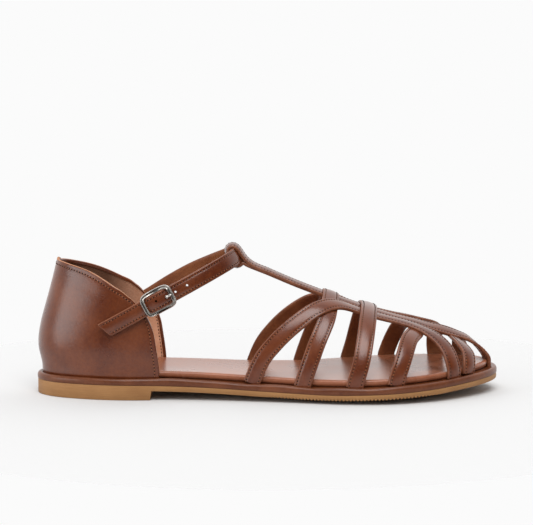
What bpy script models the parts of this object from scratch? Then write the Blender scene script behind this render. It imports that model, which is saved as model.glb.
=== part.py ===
"""Strappy sandal for a right foot, standing on its sole.

A flat caged sandal: a moulded rubber outsole with a low heel, a leather-covered midsole and insole,
a closed heel counter, woven forefoot straps on a long T-bar, and an ankle strap with a centre-bar buckle.
The toe points along +X and the outer side of the foot along -Y. Tables hold millimetres and degrees.
"""

from collections import namedtuple
from math import acos, copysign, cos, pi, radians, sin

import bmesh
import bpy
from mathutils import Vector

for leftover in list(bpy.data.objects):
    bpy.data.objects.remove(leftover, do_unlink=True)

MM = 0.001

# Driving sizes of the sole
SOLE_LENGTH = 254.0
SOLE_MARGIN = 5.4
GAP = 0.3
INSOLE_THICKNESS = 3.2
MIDSOLE_THICKNESS = 3.7
TREAD_THICKNESS = 2.7
TREAD_INSET = 0.2
TREAD_FLAT_SHARE = 0.5
MIDSOLE_ROUNDING = 0.8
INSOLE_ROUNDING = 0.6
SHARP_EDGE = 50.0
HEEL_BREAST_X = -63.6
HEEL_BREAST_LEAN = 0.8
INSOLE_LENGTH = SOLE_LENGTH - 2 * SOLE_MARGIN

# Driving sizes of the straps
STRAP_WIDTH = 9.2
STRAP_THICKNESS = 2.0
STRAP_OVER = 1.75
STRAP_PIECE_LENGTH = 4.5
LAST_FULLNESS = 2.1
TBAR_PIECE_LENGTH = 2.2
TOE_TUCK = 6.5
UNDERLAY_WIDTH = 8.8
UNDERLAY_THICKNESS = 1.3
UNDERLAY_OVERLAP = 0.25

# Driving sizes of the heel counter
COUNTER_WALL = 2.0
COUNTER_FRONT_X = -58.6
COUNTER_INNER_FRONT_X = -57.7
COUNTER_TUCK = 6.0
COUNTER_LEAN_SHARPNESS = 5

# Driving sizes of the ankle strap, in the plane that it lies in
HOOP_X = -18.4
HOOP_Z = 74.8
HOOP_TILT = 28.2
HOOP_WIDTH = 8.4
HOOP_PIECE_LENGTH = 2.7
HOOP_TIP_SLANT = 0.4
HOOP_TIP_LENGTH = 12.0
HOLE_DIAMETER = 1.6
HOLE_PITCH = 6.4
HOLE_COUNT = 4
PUNCH_DEPTH = 12.0
LAST_HOLE_ALONG = -47.8

# Driving sizes of the buckle, from the axis of its centre bar
BAR_ALONG = -46.0
BAR_RISE = 0.5
BAR_LEVEL = 27.2
BAR_RADIUS = 0.8
FRAME_RADIUS = 0.95
FRAME_HALF_LENGTH = 7.9
FRAME_HALF_WIDTH = 5.9
FRAME_SQUARENESS = 6.0
FRAME_MIDDLE_LEVEL = 1.2
FRAME_END_LEVEL = 4.7
TAB_THICKNESS = 0.9
TAB_WIDTH = 7.8
TAB_SLOT_WIDTH = 2.6
TAB_SLOT_LENGTH = 8.0
TAB_SLOT_BEHIND_BAR = 2.4
PRONG_RADIUS = 0.5
PRONG_CLEARANCE = 0.2
PRONG_CURL = 250
PRONG_CURL_STEP = 30
PRONG_HOLE_DIAMETER = 3.2
PRONG_HOLE_ALONG = 4.3

# Mesh density, and the small steps that measure a surface's slope
SOLE_STEPS = 48
TREAD_STEPS_ACROSS = 8
COUNTER_STEPS = 32
COUNTER_ROWS = 8
TAB_PIECE_LENGTH = 1.2
FRAME_STEPS = 32
HOLE_SIDES = 12
ANGLE_STEP = 0.002
TURN_STEP = 0.1
MERGE = 0.01

# Insole outline: share of its length from the heel, half width, and its middle line
Station = namedtuple("Station", "share half_width centre")
PLAN = (
    Station(0.00, 0.0, -3.4),
    Station(0.06, 17.2, -3.4),
    Station(0.17, 24.7, -3.4),
    Station(0.29, 24.8, -3.4),
    Station(0.43, 26.6, -5.0),
    Station(0.56, 32.6, -4.4),
    Station(0.67, 40.0, -2.4),
    Station(0.76, 42.6, 0.2),
    Station(0.85, 38.0, 3.0),
    Station(0.93, 27.0, 5.2),
    Station(1.00, 0.0, 6.2),
)

# Side line of the sole: underside of the midsole, and how far the tread's middle hangs below its edge
SoleLine = namedtuple("SoleLine", "x underside hang")
SOLE_LINE = (
    SoleLine(-127.0, 8.0, 0.0),
    SoleLine(-64.0, 7.9, 0.0),
    SoleLine(-34.0, 7.2, 0.3),
    SoleLine(-4.0, 5.9, 1.6),
    SoleLine(26.0, 5.0, 2.6),
    SoleLine(56.0, 5.0, 2.6),
    SoleLine(86.0, 6.2, 2.4),
    SoleLine(112.0, 8.6, 1.0),
    SoleLine(126.0, 9.8, 0.0),
)

# Top line of the foot above the insole, by share of the insole's length
Ridge = namedtuple("Ridge", "share rise")
RIDGE = (
    Ridge(0.40, 63.0),
    Ridge(0.45, 58.0),
    Ridge(0.52, 50.8),
    Ridge(0.60, 43.4),
    Ridge(0.68, 36.4),
    Ridge(0.76, 30.0),
    Ridge(0.80, 26.6),
    Ridge(0.85, 21.9),
    Ridge(0.90, 18.2),
    Ridge(0.95, 11.8),
    Ridge(0.98, 6.2),
    Ridge(1.00, 0.0),
)

# Strap routes on the foot: share of the insole's length, turn from the top line down to the insole's edge
# at 90 degrees (past it, straight down a millimetre a degree), and lift over the straps beneath
Fold = namedtuple("Fold", "share turn lift")
OUTER_LONG_STRAP = (
    Fold(0.458, 97.0, 0.0),
    Fold(0.492, 79.0, 0.0),
    Fold(0.514, 71.0, 0.0),
    Fold(0.566, 52.0, 0.3),
    Fold(0.606, 37.0, STRAP_OVER),
    Fold(0.648, 24.0, STRAP_OVER),
    Fold(0.700, 16.0, 0.1),
    Fold(0.745, 14.5, 0.1),
    Fold(0.785, 15.5, 0.7),
    Fold(0.818, 19.5, STRAP_OVER),
    Fold(0.853, 28.0, 1.5),
    Fold(0.897, 57.0, 0.0),
    Fold(0.909, 83.0, 0.0),
    Fold(0.911, 97.0, 0.0),
)
INNER_LONG_STRAP = (
    Fold(0.460, 97.0, 0.0),
    Fold(0.493, 79.0, 0.0),
    Fold(0.514, 71.0, 0.0),
    Fold(0.565, 52.0, 0.3),
    Fold(0.606, 37.0, 1.5),
    Fold(0.648, 24.0, STRAP_OVER),
    Fold(0.700, 16.0, 0.1),
    Fold(0.745, 14.5, 0.1),
    Fold(0.785, 15.5, 0.7),
    Fold(0.813, 19.5, STRAP_OVER),
    Fold(0.841, 28.0, 1.5),
    Fold(0.879, 57.0, 0.0),
    Fold(0.889, 83.0, 0.0),
    Fold(0.894, 97.0, 0.0),
)
INSTEP_STRAP = (
    Fold(0.572, 97.0, 0.0),
    Fold(0.604, 68.0, 0.0),
    Fold(0.630, 40.0, 0.0),
    Fold(0.636, 21.0, 0.2),
    Fold(0.638, 0.0, STRAP_OVER),
)
WAIST_STRAP = (
    Fold(0.686, 97.0, 0.0),
    Fold(0.703, 75.0, 0.0),
    Fold(0.713, 52.0, 0.2),
    Fold(0.720, 28.0, 1.6),
    Fold(0.725, 0.0, STRAP_OVER),
)
BALL_STRAP = (
    Fold(0.775, 97.0, 0.0),
    Fold(0.797, 66.0, 0.0),
    Fold(0.810, 46.0, 0.0),
    Fold(0.829, 28.0, 0.0),
    Fold(0.838, 0.0, 0.0),
)
TOE_STRAP = (
    Fold(0.943, 97.0, 0.0),
    Fold(0.950, 66.0, 0.0),
    Fold(0.939, 33.0, 0.0),
    Fold(0.932, 0.0, 0.0),
)
TBAR = (
    Fold(0.457, 0.0, 0.0),
    Fold(0.50, 0.0, 0.0),
    Fold(0.56, 0.0, 0.0),
    Fold(0.62, 0.0, 0.0),
    Fold(0.68, 0.0, 0.0),
    Fold(0.745, 0.0, 0.0),
    Fold(0.785, 0.0, 0.5),
    Fold(0.815, 0.0, 1.65),
    Fold(0.86, 0.0, 1.65),
    Fold(0.90, 0.0, STRAP_OVER),
    Fold(0.94, 0.0, STRAP_OVER),
    Fold(0.97, 0.0, 0.8),
    Fold(0.99, 0.0, 0.1),
    Fold(1.00, 0.0, GAP),
)

# Loop of the T-bar round the ankle strap, seen from the side: across the strap and along its width
LoopPoint = namedtuple("LoopPoint", "across along_width")
LOOP = (
    LoopPoint(-0.6, -4.8),
    LoopPoint(-2.0, -4.6),
    LoopPoint(-2.7, -3.0),
    LoopPoint(-2.7, 0.0),
    LoopPoint(-2.5, 3.5),
    LoopPoint(-1.6, 5.0),
    LoopPoint(0.0, 5.4),
    LoopPoint(1.4, 4.6),
    LoopPoint(2.3, 2.2),
    LoopPoint(2.7, -1.0),
    LoopPoint(3.1, -3.8),
)

UNDERLAY = (
    LoopPoint(2.6, -5.6),
    LoopPoint(0.8, -4.7),
    LoopPoint(-0.8, -4.8),
    LoopPoint(-2.0, -4.7),
)

# Heel counter: profile of its back and of its front edge, its spread, and its top line
Profile = namedtuple("Profile", "height back_x front_x spread")
COUNTER_PROFILE = (
    Profile(-8.0, -0.6, 0.0, 1.0),
    Profile(0.0, -0.6, 0.0, 1.0),
    Profile(12.0, -2.7, -1.4, 1.015),
    Profile(24.0, -1.1, -3.8, 1.0),
    Profile(31.0, 0.8, -7.1, 0.985),
    Profile(40.0, 3.4, -12.5, 0.96),
    Profile(60.0, 8.6, -18.0, 0.87),
)
TopLine = namedtuple("TopLine", "share outer inner")
COUNTER_TOP = (
    TopLine(0.0, 58.2, 58.2),
    TopLine(0.3, 56.6, 56.3),
    TopLine(0.56, 52.8, 52.2),
    TopLine(0.77, 46.0, 46.2),
    TopLine(0.9, 40.8, 41.9),
    TopLine(0.97, 36.0, 37.2),
    TopLine(1.0, 30.5, 31.5),
)

# Ankle strap, inner face from its tip round the instep: back from the loop in its own plane, sideways, and
# its rise out of that plane
HoopPoint = namedtuple("HoopPoint", "along sideways rise")
HOOP = (
    HoopPoint(-78.0, -27.7, 0.2),
    HoopPoint(-68.0, -28.2, 0.3),
    HoopPoint(-62.0, -28.5, 0.4),
    HoopPoint(-54.1, -28.5, 0.5),
    HoopPoint(-46.0, -29.5, 0.5),
    HoopPoint(-38.0, -28.5, 0.5),
    HoopPoint(-26.0, -26.4, 0.5),
    HoopPoint(-14.0, -21.6, 0.4),
    HoopPoint(-5.0, -14.0, 0.3),
    HoopPoint(-1.6, -6.0, 0.3),
    HoopPoint(-1.0, 0.0, 0.3),
    HoopPoint(-1.6, 6.0, 0.4),
    HoopPoint(-5.0, 14.0, 0.8),
    HoopPoint(-14.0, 21.6, 1.5),
    HoopPoint(-26.0, 25.8, 2.2),
    HoopPoint(-40.0, 27.1, 2.0),
    HoopPoint(-54.0, 27.3, 1.0),
    HoopPoint(-68.0, 27.4, 0.4),
)

# Buckle tab and prong, seen from the side: along the strap, and out from the centre bar's axis
SidePoint = namedtuple("SidePoint", "along out")
TAB = (
    SidePoint(-19.0, 0.1),
    SidePoint(-10.0, 0.1),
    SidePoint(-4.0, 0.2),
    SidePoint(-1.6, 0.8),
    SidePoint(0.0, 1.1),
    SidePoint(1.0, 0.6),
    SidePoint(1.1, -0.4),
    SidePoint(0.0, -1.1),
    SidePoint(-1.8, -0.7),
    SidePoint(-4.0, -0.3),
    SidePoint(-7.0, -0.2),
)
PRONG = (
    SidePoint(2.6, 0.9),
    SidePoint(3.6, 1.6),
    SidePoint(4.4, 3.4),
    SidePoint(5.4, 5.5),
    SidePoint(8.8, 7.0),
)

Finish = namedtuple("Finish", "name colour roughness metallic")
RUBBER = Finish("tan moulded rubber", (0.43, 0.25, 0.10), 0.62, 0.0)
EDGE_LEATHER = Finish("brown wrapped leather", (0.16, 0.068, 0.040), 0.42, 0.0)
FOOTBED_LEATHER = Finish("brown footbed leather", (0.30, 0.155, 0.105), 0.50, 0.0)
UPPER_LEATHER = Finish("brown calf leather", (0.20, 0.072, 0.034), 0.38, 0.0)
NICKEL = Finish("antique nickel", (0.52, 0.50, 0.47), 0.32, 1.0)

sandal = bpy.data.collections.new("strappy sandal")
cutters = bpy.data.collections.new("cutters")
forefoot_straps = bpy.data.collections.new("forefoot straps")
strap_punches = bpy.data.collections.new("strap punches")
for collection in (sandal, cutters, forefoot_straps, strap_punches):
    bpy.context.scene.collection.children.link(collection)


def same(value):
    return value


def swing(share):
    """Angle that sweeps a rounded outline from its heel at 0 to its toe at pi."""
    return acos(1 - 2 * min(max(share, 0.0), 1.0))


def angle_at(x):
    return swing((x + INSOLE_LENGTH / 2) / INSOLE_LENGTH)


def smooth(table, column, at, key=same):
    """Reads one column of a table between its rows, along a smooth curve through them."""
    keys = [key(row[0]) for row in table]
    values = [getattr(row, column) if hasattr(row, "_fields") else row[column] for row in table]
    at = min(max(at, keys[0]), keys[-1])
    slot = 0
    while slot < len(keys) - 2 and at > keys[slot + 1]:
        slot += 1

    def pace(i):
        return (values[i + 1] - values[i]) / (keys[i + 1] - keys[i])

    def slope(i):
        if i == 0 or i == len(keys) - 1:
            return pace(min(i, len(keys) - 2))
        before = keys[i] - keys[i - 1]
        after = keys[i + 1] - keys[i]
        return (pace(i - 1) * after + pace(i) * before) / (before + after)

    span = keys[slot + 1] - keys[slot]
    t = (at - keys[slot]) / span
    from_start = (1 + 2 * t) * (1 - t) ** 2 * values[slot] + t * (1 - t) ** 2 * span * slope(slot)
    to_end = t * t * (3 - 2 * t) * values[slot + 1] + t * t * (t - 1) * span * slope(slot + 1)
    return from_start + to_end


def midsole_underside(x):
    return smooth(SOLE_LINE, "underside", x)


def midsole_top(x):
    return midsole_underside(x) + MIDSOLE_THICKNESS


def insole_top(x):
    return midsole_top(x) + GAP + INSOLE_THICKNESS


def half_width(angle):
    return max(smooth(PLAN, "half_width", angle, swing), 0.0)


def centre(angle):
    return smooth(PLAN, "centre", angle, swing)


def station_x(angle):
    return -INSOLE_LENGTH / 2 * cos(angle)


def outline(angle, side, margin):
    """Point of the insole's outline moved out by a margin, on the outer (-1) or the inner (1) side."""

    def on_edge(a):
        return Vector((station_x(a), centre(a) + side * half_width(a)))

    along = on_edge(min(angle + ANGLE_STEP, pi)) - on_edge(max(angle - ANGLE_STEP, 0.0))
    if angle in (0.0, pi):
        along.x = 0.0
    out = side * Vector((-along.y, along.x)).normalized()
    return on_edge(angle) + margin * out


def last(angle, turn):
    """Point on the foot's surface; a turn is negative towards the outer side."""
    side = copysign(1.0, turn)
    bend = radians(min(abs(turn), 90.0))
    edge = outline(angle, side, GAP)
    middle = centre(angle)
    reach = sin(bend) ** (2 / LAST_FULLNESS)
    rise = max(cos(bend), 0.0) ** (2 / LAST_FULLNESS)
    x = station_x(angle)
    y = middle + (edge.y - middle) * reach
    z = insole_top(x) + smooth(RIDGE, "rise", angle, swing) * rise - max(abs(turn) - 90.0, 0.0)
    return Vector((x + (edge.x - x) * reach, y, z))


def smooth_path(rows, places, piece_length):
    """Evenly spaced readings of a table's columns along the path that its places make."""
    reached = [0.0]
    for before, after in zip(places, places[1:]):
        reached.append(reached[-1] + (after - before).length)
    table = [(length, *row) for length, row in zip(reached, rows)]
    pieces = max(round(reached[-1] / piece_length), 2)
    readings = []
    for i in range(pieces + 1):
        at = reached[-1] * i / pieces
        readings.append([smooth(table, column + 1, at) for column in range(len(rows[0]))])
    return readings


def finish_material(finish):
    material = bpy.data.materials.get(finish.name) or bpy.data.materials.new(finish.name)
    material.use_nodes = True
    shader = material.node_tree.nodes["Principled BSDF"]
    shader.inputs["Base Color"].default_value = (*finish.colour, 1.0)
    shader.inputs["Roughness"].default_value = finish.roughness
    shader.inputs["Metallic"].default_value = finish.metallic
    material.diffuse_color = (*finish.colour, 1.0)
    return material


def add_object(name, mesh, finish=None, collection=sandal):
    """A named object; one without a finish is a cutter or a guide, and stays out of the model."""
    obj = bpy.data.objects.new(name, mesh)
    collection.objects.link(obj)
    if finish:
        mesh.materials.append(finish_material(finish))
    else:
        obj.hide_render = True
        obj.display_type = "WIRE"
    return obj


def mapped_grid(name, columns, rows, place, thickness=None, finish=None, collection=sandal):
    """A grid of columns by rows whose points go where place(column, row) says, in millimetres."""
    build = bmesh.new()
    bmesh.ops.create_grid(build, x_segments=columns, y_segments=rows, size=1.0)
    for vertex in build.verts:
        column = round((vertex.co.x + 1) / 2 * columns)
        row = round((vertex.co.y + 1) / 2 * rows)
        vertex.co = MM * Vector(place(column, row))
    mesh = bpy.data.meshes.new(name)
    build.to_mesh(mesh)
    build.free()
    obj = add_object(name, mesh, finish, collection)
    if thickness:
        shell = obj.modifiers.new("thickness", "SOLIDIFY")
        shell.thickness = thickness * MM
        shell.offset = 1.0
        shell.use_even_offset = True
    return obj


def sole_layer(name, margin, underside, top, finish=None, collection=sandal, across=2, stations=None):
    """A layer of the sole: its outline between two height functions of (x, share across, station number)."""
    stations = stations or [pi * i / SOLE_STEPS for i in range(SOLE_STEPS + 1)]
    build = bmesh.new()
    bmesh.ops.create_grid(build, x_segments=len(stations) - 1, y_segments=across, size=1.0)
    top_height = build.verts.layers.float.new("top height")
    for vertex in build.verts:
        number = round((vertex.co.x + 1) / 2 * (len(stations) - 1))
        share = vertex.co.y
        outer = outline(stations[number], -1, margin)
        inner = outline(stations[number], 1, margin)
        spot = outer.lerp(inner, (share + 1) / 2)
        vertex[top_height] = top(spot.x) * MM
        vertex.co = MM * Vector((spot.x, spot.y, underside(spot.x, share, number)))
    raised = bmesh.ops.extrude_face_region(build, geom=build.faces[:])["geom"]
    for vertex in raised:
        if isinstance(vertex, bmesh.types.BMVert):
            vertex.co.z = vertex[top_height]
    bmesh.ops.remove_doubles(build, verts=build.verts, dist=MERGE * MM)
    bmesh.ops.recalc_face_normals(build, faces=build.faces)
    mesh = bpy.data.meshes.new(name)
    build.to_mesh(mesh)
    build.free()
    return add_object(name, mesh, finish, collection)


def round_edges(obj, width, segments):
    bevel = obj.modifiers.new("rounded edges", "BEVEL")
    bevel.width = width * MM
    bevel.segments = segments
    bevel.limit_method = "ANGLE"
    bevel.angle_limit = radians(SHARP_EDGE)


def boolean(obj, operation, other):
    change = obj.modifiers.new(operation.lower(), "BOOLEAN")
    change.operation = operation
    change.solver = "EXACT"
    if isinstance(other, bpy.types.Collection):
        change.operand_type = "COLLECTION"
        change.collection = other
    else:
        change.object = other


def strap(name, route, collection):
    """A strap that lies on the foot along a route of folds, with its lifts."""
    places = [last(swing(fold.share), fold.turn) for fold in route]
    rows = [(swing(fold.share), fold.turn, fold.lift) for fold in route]
    readings = smooth_path(rows, places, STRAP_PIECE_LENGTH)

    def frame_at(number):
        angle, turn, _ = readings[number]
        by_angle = (last(angle + ANGLE_STEP, turn) - last(angle - ANGLE_STEP, turn)) / (2 * ANGLE_STEP)
        by_turn = (last(angle, turn + TURN_STEP) - last(angle, turn - TURN_STEP)) / (2 * TURN_STEP)
        out = by_angle.cross(by_turn).normalized()
        before = readings[max(number - 1, 0)]
        after = readings[min(number + 1, len(readings) - 1)]
        along = last(after[0], after[1]) - last(before[0], before[1])
        return by_angle, by_turn, out, out.cross(along).normalized()

    def place(number, row):
        by_angle, by_turn, out, sideways = frame_at(number)
        offset = STRAP_WIDTH * (row / 2 - 0.5) * sideways
        aa, at, tt = by_angle.dot(by_angle), by_angle.dot(by_turn), by_turn.dot(by_turn)
        a, t = offset.dot(by_angle), offset.dot(by_turn)
        area = aa * tt - at * at
        angle, turn, lift = readings[number]
        spot = last(angle + (a * tt - t * at) / area, turn + (t * aa - a * at) / area)
        return spot + lift * out

    return mapped_grid(name, len(readings) - 1, 2, place, STRAP_THICKNESS, None, collection)


def across_foot(half):
    """A route from the outer edge over the top line to the inner edge, the same on both sides."""
    outer = [Fold(fold.share, -fold.turn, fold.lift) for fold in half]
    return outer + list(reversed(half[:-1]))


def to_outer_side(route):
    return [Fold(fold.share, -fold.turn, fold.lift) for fold in route]


def side_band(name, places, width, thickness, centre_at, finish=None, collection=sandal):
    """A band whose side view is a smooth path of (x, z) places, and whose width lies along Y."""
    flat = [Vector((x, z)) for x, z in places]
    readings = smooth_path(places, flat, TBAR_PIECE_LENGTH)

    def place(number, row):
        x, z = readings[number]
        return x, centre_at(x) + width * (row - 0.5), z

    return mapped_grid(name, len(readings) - 1, 1, place, thickness, finish, collection)


def curve_mesh(name, points, radius, cyclic):
    """A round bar along a path of points, as a mesh."""
    curve = bpy.data.curves.new(name, "CURVE")
    curve.dimensions = "3D"
    curve.bevel_depth = radius * MM
    curve.bevel_resolution = 2
    curve.use_fill_caps = not cyclic
    line = curve.splines.new("POLY")
    line.points.add(len(points) - 1)
    for point, spot in zip(line.points, points):
        point.co = (*(MM * Vector(spot)), 1.0)
    line.use_cyclic_u = cyclic
    holder = bpy.data.objects.new(name, curve)
    sandal.objects.link(holder)
    bpy.context.view_layer.update()
    mesh = bpy.data.meshes.new_from_object(holder.evaluated_get(bpy.context.evaluated_depsgraph_get()))
    bpy.data.objects.remove(holder)
    build = bmesh.new()
    build.from_mesh(mesh)
    bmesh.ops.remove_doubles(build, verts=build.verts, dist=MERGE * MM)
    build.to_mesh(mesh)
    build.free()
    mesh.name = name
    return mesh


def cylinder_mesh(name, radius, length, sides):
    build = bmesh.new()
    bmesh.ops.create_cone(
        build, cap_ends=True, segments=sides, radius1=radius * MM, radius2=radius * MM, depth=length * MM
    )
    mesh = bpy.data.meshes.new(name)
    build.to_mesh(mesh)
    build.free()
    return mesh


def block_mesh(name, size):
    build = bmesh.new()
    bmesh.ops.create_cube(build, size=1.0)
    bmesh.ops.scale(build, vec=MM * Vector(size), verts=build.verts)
    mesh = bpy.data.meshes.new(name)
    build.to_mesh(mesh)
    build.free()
    return mesh


def make_outsole():
    """Rubber tread with a heel block: flat under heel and ball, lifted at its edges and at the toe."""
    breast = angle_at(HEEL_BREAST_X)
    breast_foot = angle_at(HEEL_BREAST_X + HEEL_BREAST_LEAN)
    even = [pi * i / SOLE_STEPS for i in range(SOLE_STEPS + 1)]
    behind = [angle for angle in even if angle < breast]
    stations = behind + [breast, breast_foot] + [angle for angle in even if angle > breast_foot]
    heel_stations = len(behind) + 1

    def underside(x, share, number):
        if number < heel_stations:
            return 0.0
        past_flat = max(abs(share) - TREAD_FLAT_SHARE, 0.0) / (1 - TREAD_FLAT_SHARE)
        edge = midsole_underside(x) - GAP - TREAD_THICKNESS
        return max(edge - smooth(SOLE_LINE, "hang", x) * (1 - past_flat**2), 0.0)

    def top(x):
        return midsole_underside(x) - GAP

    margin = SOLE_MARGIN - TREAD_INSET
    return sole_layer("outsole", margin, underside, top, RUBBER, sandal, TREAD_STEPS_ACROSS, stations)


def make_midsole():
    def underside(x, share, number):
        return midsole_underside(x)

    midsole = sole_layer("midsole", SOLE_MARGIN, underside, midsole_top, EDGE_LEATHER)
    round_edges(midsole, MIDSOLE_ROUNDING, 2)
    return midsole


def make_insole():
    def underside(x, share, number):
        return midsole_top(x) + GAP

    insole = sole_layer("insole", 0.0, underside, insole_top, FOOTBED_LEATHER)
    round_edges(insole, INSOLE_ROUNDING, 1)
    return insole


def make_sole_cutter():
    """The space of the sole, up to a gap over the midsole, that the upper's lower edges stop at."""

    def underside(x, share, number):
        return -SOLE_MARGIN

    def top(x):
        return midsole_top(x) + GAP

    return sole_layer("sole space", 3 * SOLE_MARGIN, underside, top, None, cutters)


def make_heel_counter(sole_space):
    """Closed back of the upper, one wall from the front edge on one side round the heel to the other."""

    def place(column, row):
        turn = 1 - 2 * column / COUNTER_STEPS
        side = copysign(1.0, turn)
        share = sin(abs(turn) * pi / 2)
        front = angle_at(COUNTER_INNER_FRONT_X if side > 0 else COUNTER_FRONT_X)
        top = smooth(COUNTER_TOP, "inner" if side > 0 else "outer", share)
        height = -COUNTER_TUCK + (top + COUNTER_TUCK) * row / COUNTER_ROWS
        foot = outline(front * share, side, GAP)
        lean = share**COUNTER_LEAN_SHARPNESS
        back_x = smooth(COUNTER_PROFILE, "back_x", height)
        front_x = smooth(COUNTER_PROFILE, "front_x", height)
        spread = smooth(COUNTER_PROFILE, "spread", height)
        middle = centre(0.0)
        x = foot.x + back_x * (1 - lean) + front_x * lean
        return x, middle + (foot.y - middle) * spread, insole_top(foot.x) + height

    counter = mapped_grid("heel_counter", COUNTER_STEPS, COUNTER_ROWS, place, COUNTER_WALL, UPPER_LEATHER)
    boolean(counter, "DIFFERENCE", sole_space)
    return counter


def hoop_to_side_view(across, along_width):
    """Side view place of a point given across the ankle strap's thickness and along its width."""
    tilt = radians(HOOP_TILT)
    x = HOOP_X + across * cos(tilt) - along_width * sin(tilt)
    z = HOOP_Z + across * sin(tilt) + along_width * cos(tilt)
    return x, z


def make_strap_cage(sole_space):
    """T-bar with its loop, joined with the straps that it is woven through."""

    def tbar_centre(x):
        return centre(angle_at(x))

    def ridge_place(fold):
        angle = swing(fold.share)
        step = last(min(angle + ANGLE_STEP, pi), 0.0) - last(angle - ANGLE_STEP, 0.0)
        out = Vector((-step.z, step.x)).normalized()
        spot = last(angle, 0.0)
        return spot.x + fold.lift * out.x, spot.z + fold.lift * out.y

    loop = [hoop_to_side_view(*point) for point in LOOP]
    ridge = [ridge_place(fold) for fold in TBAR]
    toe_x, toe_z = ridge[-1]
    tucked = [(toe_x, toe_z - TOE_TUCK / 2), (toe_x, toe_z - TOE_TUCK)]
    path = loop + ridge + tucked
    cage = side_band("strap_cage", path, STRAP_WIDTH, STRAP_THICKNESS, tbar_centre, UPPER_LEATHER)
    underlay = [(x + UNDERLAY_OVERLAP / 2, z + UNDERLAY_OVERLAP) for x, z in reversed(ridge[:2])]
    underlay = underlay + [hoop_to_side_view(*point) for point in UNDERLAY]
    side_band(
        "loop underlay", underlay, UNDERLAY_WIDTH, UNDERLAY_THICKNESS, tbar_centre, None, forefoot_straps
    )
    strap("long strap outer", to_outer_side(OUTER_LONG_STRAP), forefoot_straps)
    strap("long strap inner", INNER_LONG_STRAP, forefoot_straps)
    for name, half in (
        ("instep strap", INSTEP_STRAP),
        ("waist strap", WAIST_STRAP),
        ("ball strap", BALL_STRAP),
        ("toe strap", TOE_STRAP),
    ):
        strap(name, across_foot(half), forefoot_straps)
    boolean(cage, "UNION", forefoot_straps)
    boolean(cage, "DIFFERENCE", sole_space)
    return cage


def make_hoop_seat():
    """Empty at the loop: its X runs along the ankle strap's plane and its Z across the strap."""
    seat = bpy.data.objects.new("ankle strap seat", None)
    sandal.objects.link(seat)
    seat.location = MM * Vector((HOOP_X, centre(0.0), HOOP_Z))
    seat.rotation_euler = (0.0, -radians(HOOP_TILT), 0.0)
    return seat


def make_ankle_strap(seat):
    readings = smooth_path(HOOP, [Vector(point) for point in HOOP], HOOP_PIECE_LENGTH)
    pieces = len(readings) - 1

    def place(number, row):
        along, sideways, rise = readings[number]
        up = HOOP_WIDTH * (row - 0.5)
        from_tip = max(1 - (along - readings[0][0]) / HOOP_TIP_LENGTH, 0.0) if number < pieces / 2 else 0.0
        return along - HOOP_TIP_SLANT * up * from_tip, sideways, rise + up

    ankle = mapped_grid("ankle_strap", pieces, 1, place, STRAP_THICKNESS, UPPER_LEATHER)
    ankle.parent = seat
    punch = cylinder_mesh("hole punch", HOLE_DIAMETER / 2, PUNCH_DEPTH, HOLE_SIDES)
    prong_punch = cylinder_mesh("prong punch", PRONG_HOLE_DIAMETER / 2, PUNCH_DEPTH, HOLE_SIDES)
    prong_along = BAR_ALONG + PRONG_HOLE_ALONG
    for i in range(HOLE_COUNT):
        along = LAST_HOLE_ALONG + HOLE_PITCH * i
        held = abs(along - prong_along) < HOLE_PITCH / 2
        hole = add_object(f"strap hole {i + 1}", prong_punch if held else punch, None, strap_punches)
        hole.parent = seat
        hole.rotation_euler = (pi / 2, 0.0, 0.0)
        hole.location = MM * Vector((prong_along if held else along, -BAR_LEVEL - STRAP_THICKNESS, BAR_RISE))
    boolean(ankle, "DIFFERENCE", strap_punches)
    return ankle


def seat_on_bar(obj, seat):
    """Places a buckle piece on the centre bar: X along the strap, Y across it and Z outwards."""
    obj.parent = seat
    obj.location = MM * Vector((BAR_ALONG, -BAR_LEVEL, BAR_RISE))
    obj.rotation_euler = (pi / 2, 0.0, 0.0)


def make_buckle_tab(seat):
    """Leather tab that folds round the centre bar and is sewn to the counter, with a slot for the prong."""
    readings = smooth_path(TAB, [Vector(point) for point in TAB], TAB_PIECE_LENGTH)

    def place(number, row):
        along, out = readings[number]
        return along, TAB_WIDTH * (row - 0.5), out

    tab = mapped_grid("buckle_tab", len(readings) - 1, 1, place, TAB_THICKNESS, UPPER_LEATHER)
    seat_on_bar(tab, seat)
    slot_mesh = block_mesh("prong slot", (TAB_SLOT_LENGTH, TAB_SLOT_WIDTH, TAB_SLOT_LENGTH))
    slot = add_object("prong slot", slot_mesh, None, cutters)
    seat_on_bar(slot, seat)
    slot.location.x += (TAB_SLOT_LENGTH / 2 - TAB_SLOT_BEHIND_BAR) * MM
    boolean(tab, "DIFFERENCE", slot)
    return tab


def make_buckle_frame(seat):
    """Rounded frame, bowed out at both ends to clear the strap, with its centre bar."""
    points = []
    for i in range(FRAME_STEPS):
        angle = 2 * pi * i / FRAME_STEPS
        along = FRAME_HALF_LENGTH * copysign(abs(cos(angle)) ** (2 / FRAME_SQUARENESS), cos(angle))
        across = FRAME_HALF_WIDTH * copysign(abs(sin(angle)) ** (2 / FRAME_SQUARENESS), sin(angle))
        bow = (FRAME_END_LEVEL - FRAME_MIDDLE_LEVEL) * (along / FRAME_HALF_LENGTH) ** 2
        points.append((along, across, FRAME_MIDDLE_LEVEL + bow))
    frame = add_object("buckle_frame", curve_mesh("buckle_frame", points, FRAME_RADIUS, True), NICKEL)
    seat_on_bar(frame, seat)
    bar_mesh = cylinder_mesh("centre bar", BAR_RADIUS, 2 * FRAME_HALF_WIDTH + BAR_RADIUS, HOLE_SIDES)
    bar = add_object("centre bar", bar_mesh, None, cutters)
    seat_on_bar(bar, seat)
    bar.rotation_euler = (0.0, 0.0, 0.0)
    boolean(frame, "UNION", bar)
    return frame


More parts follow.
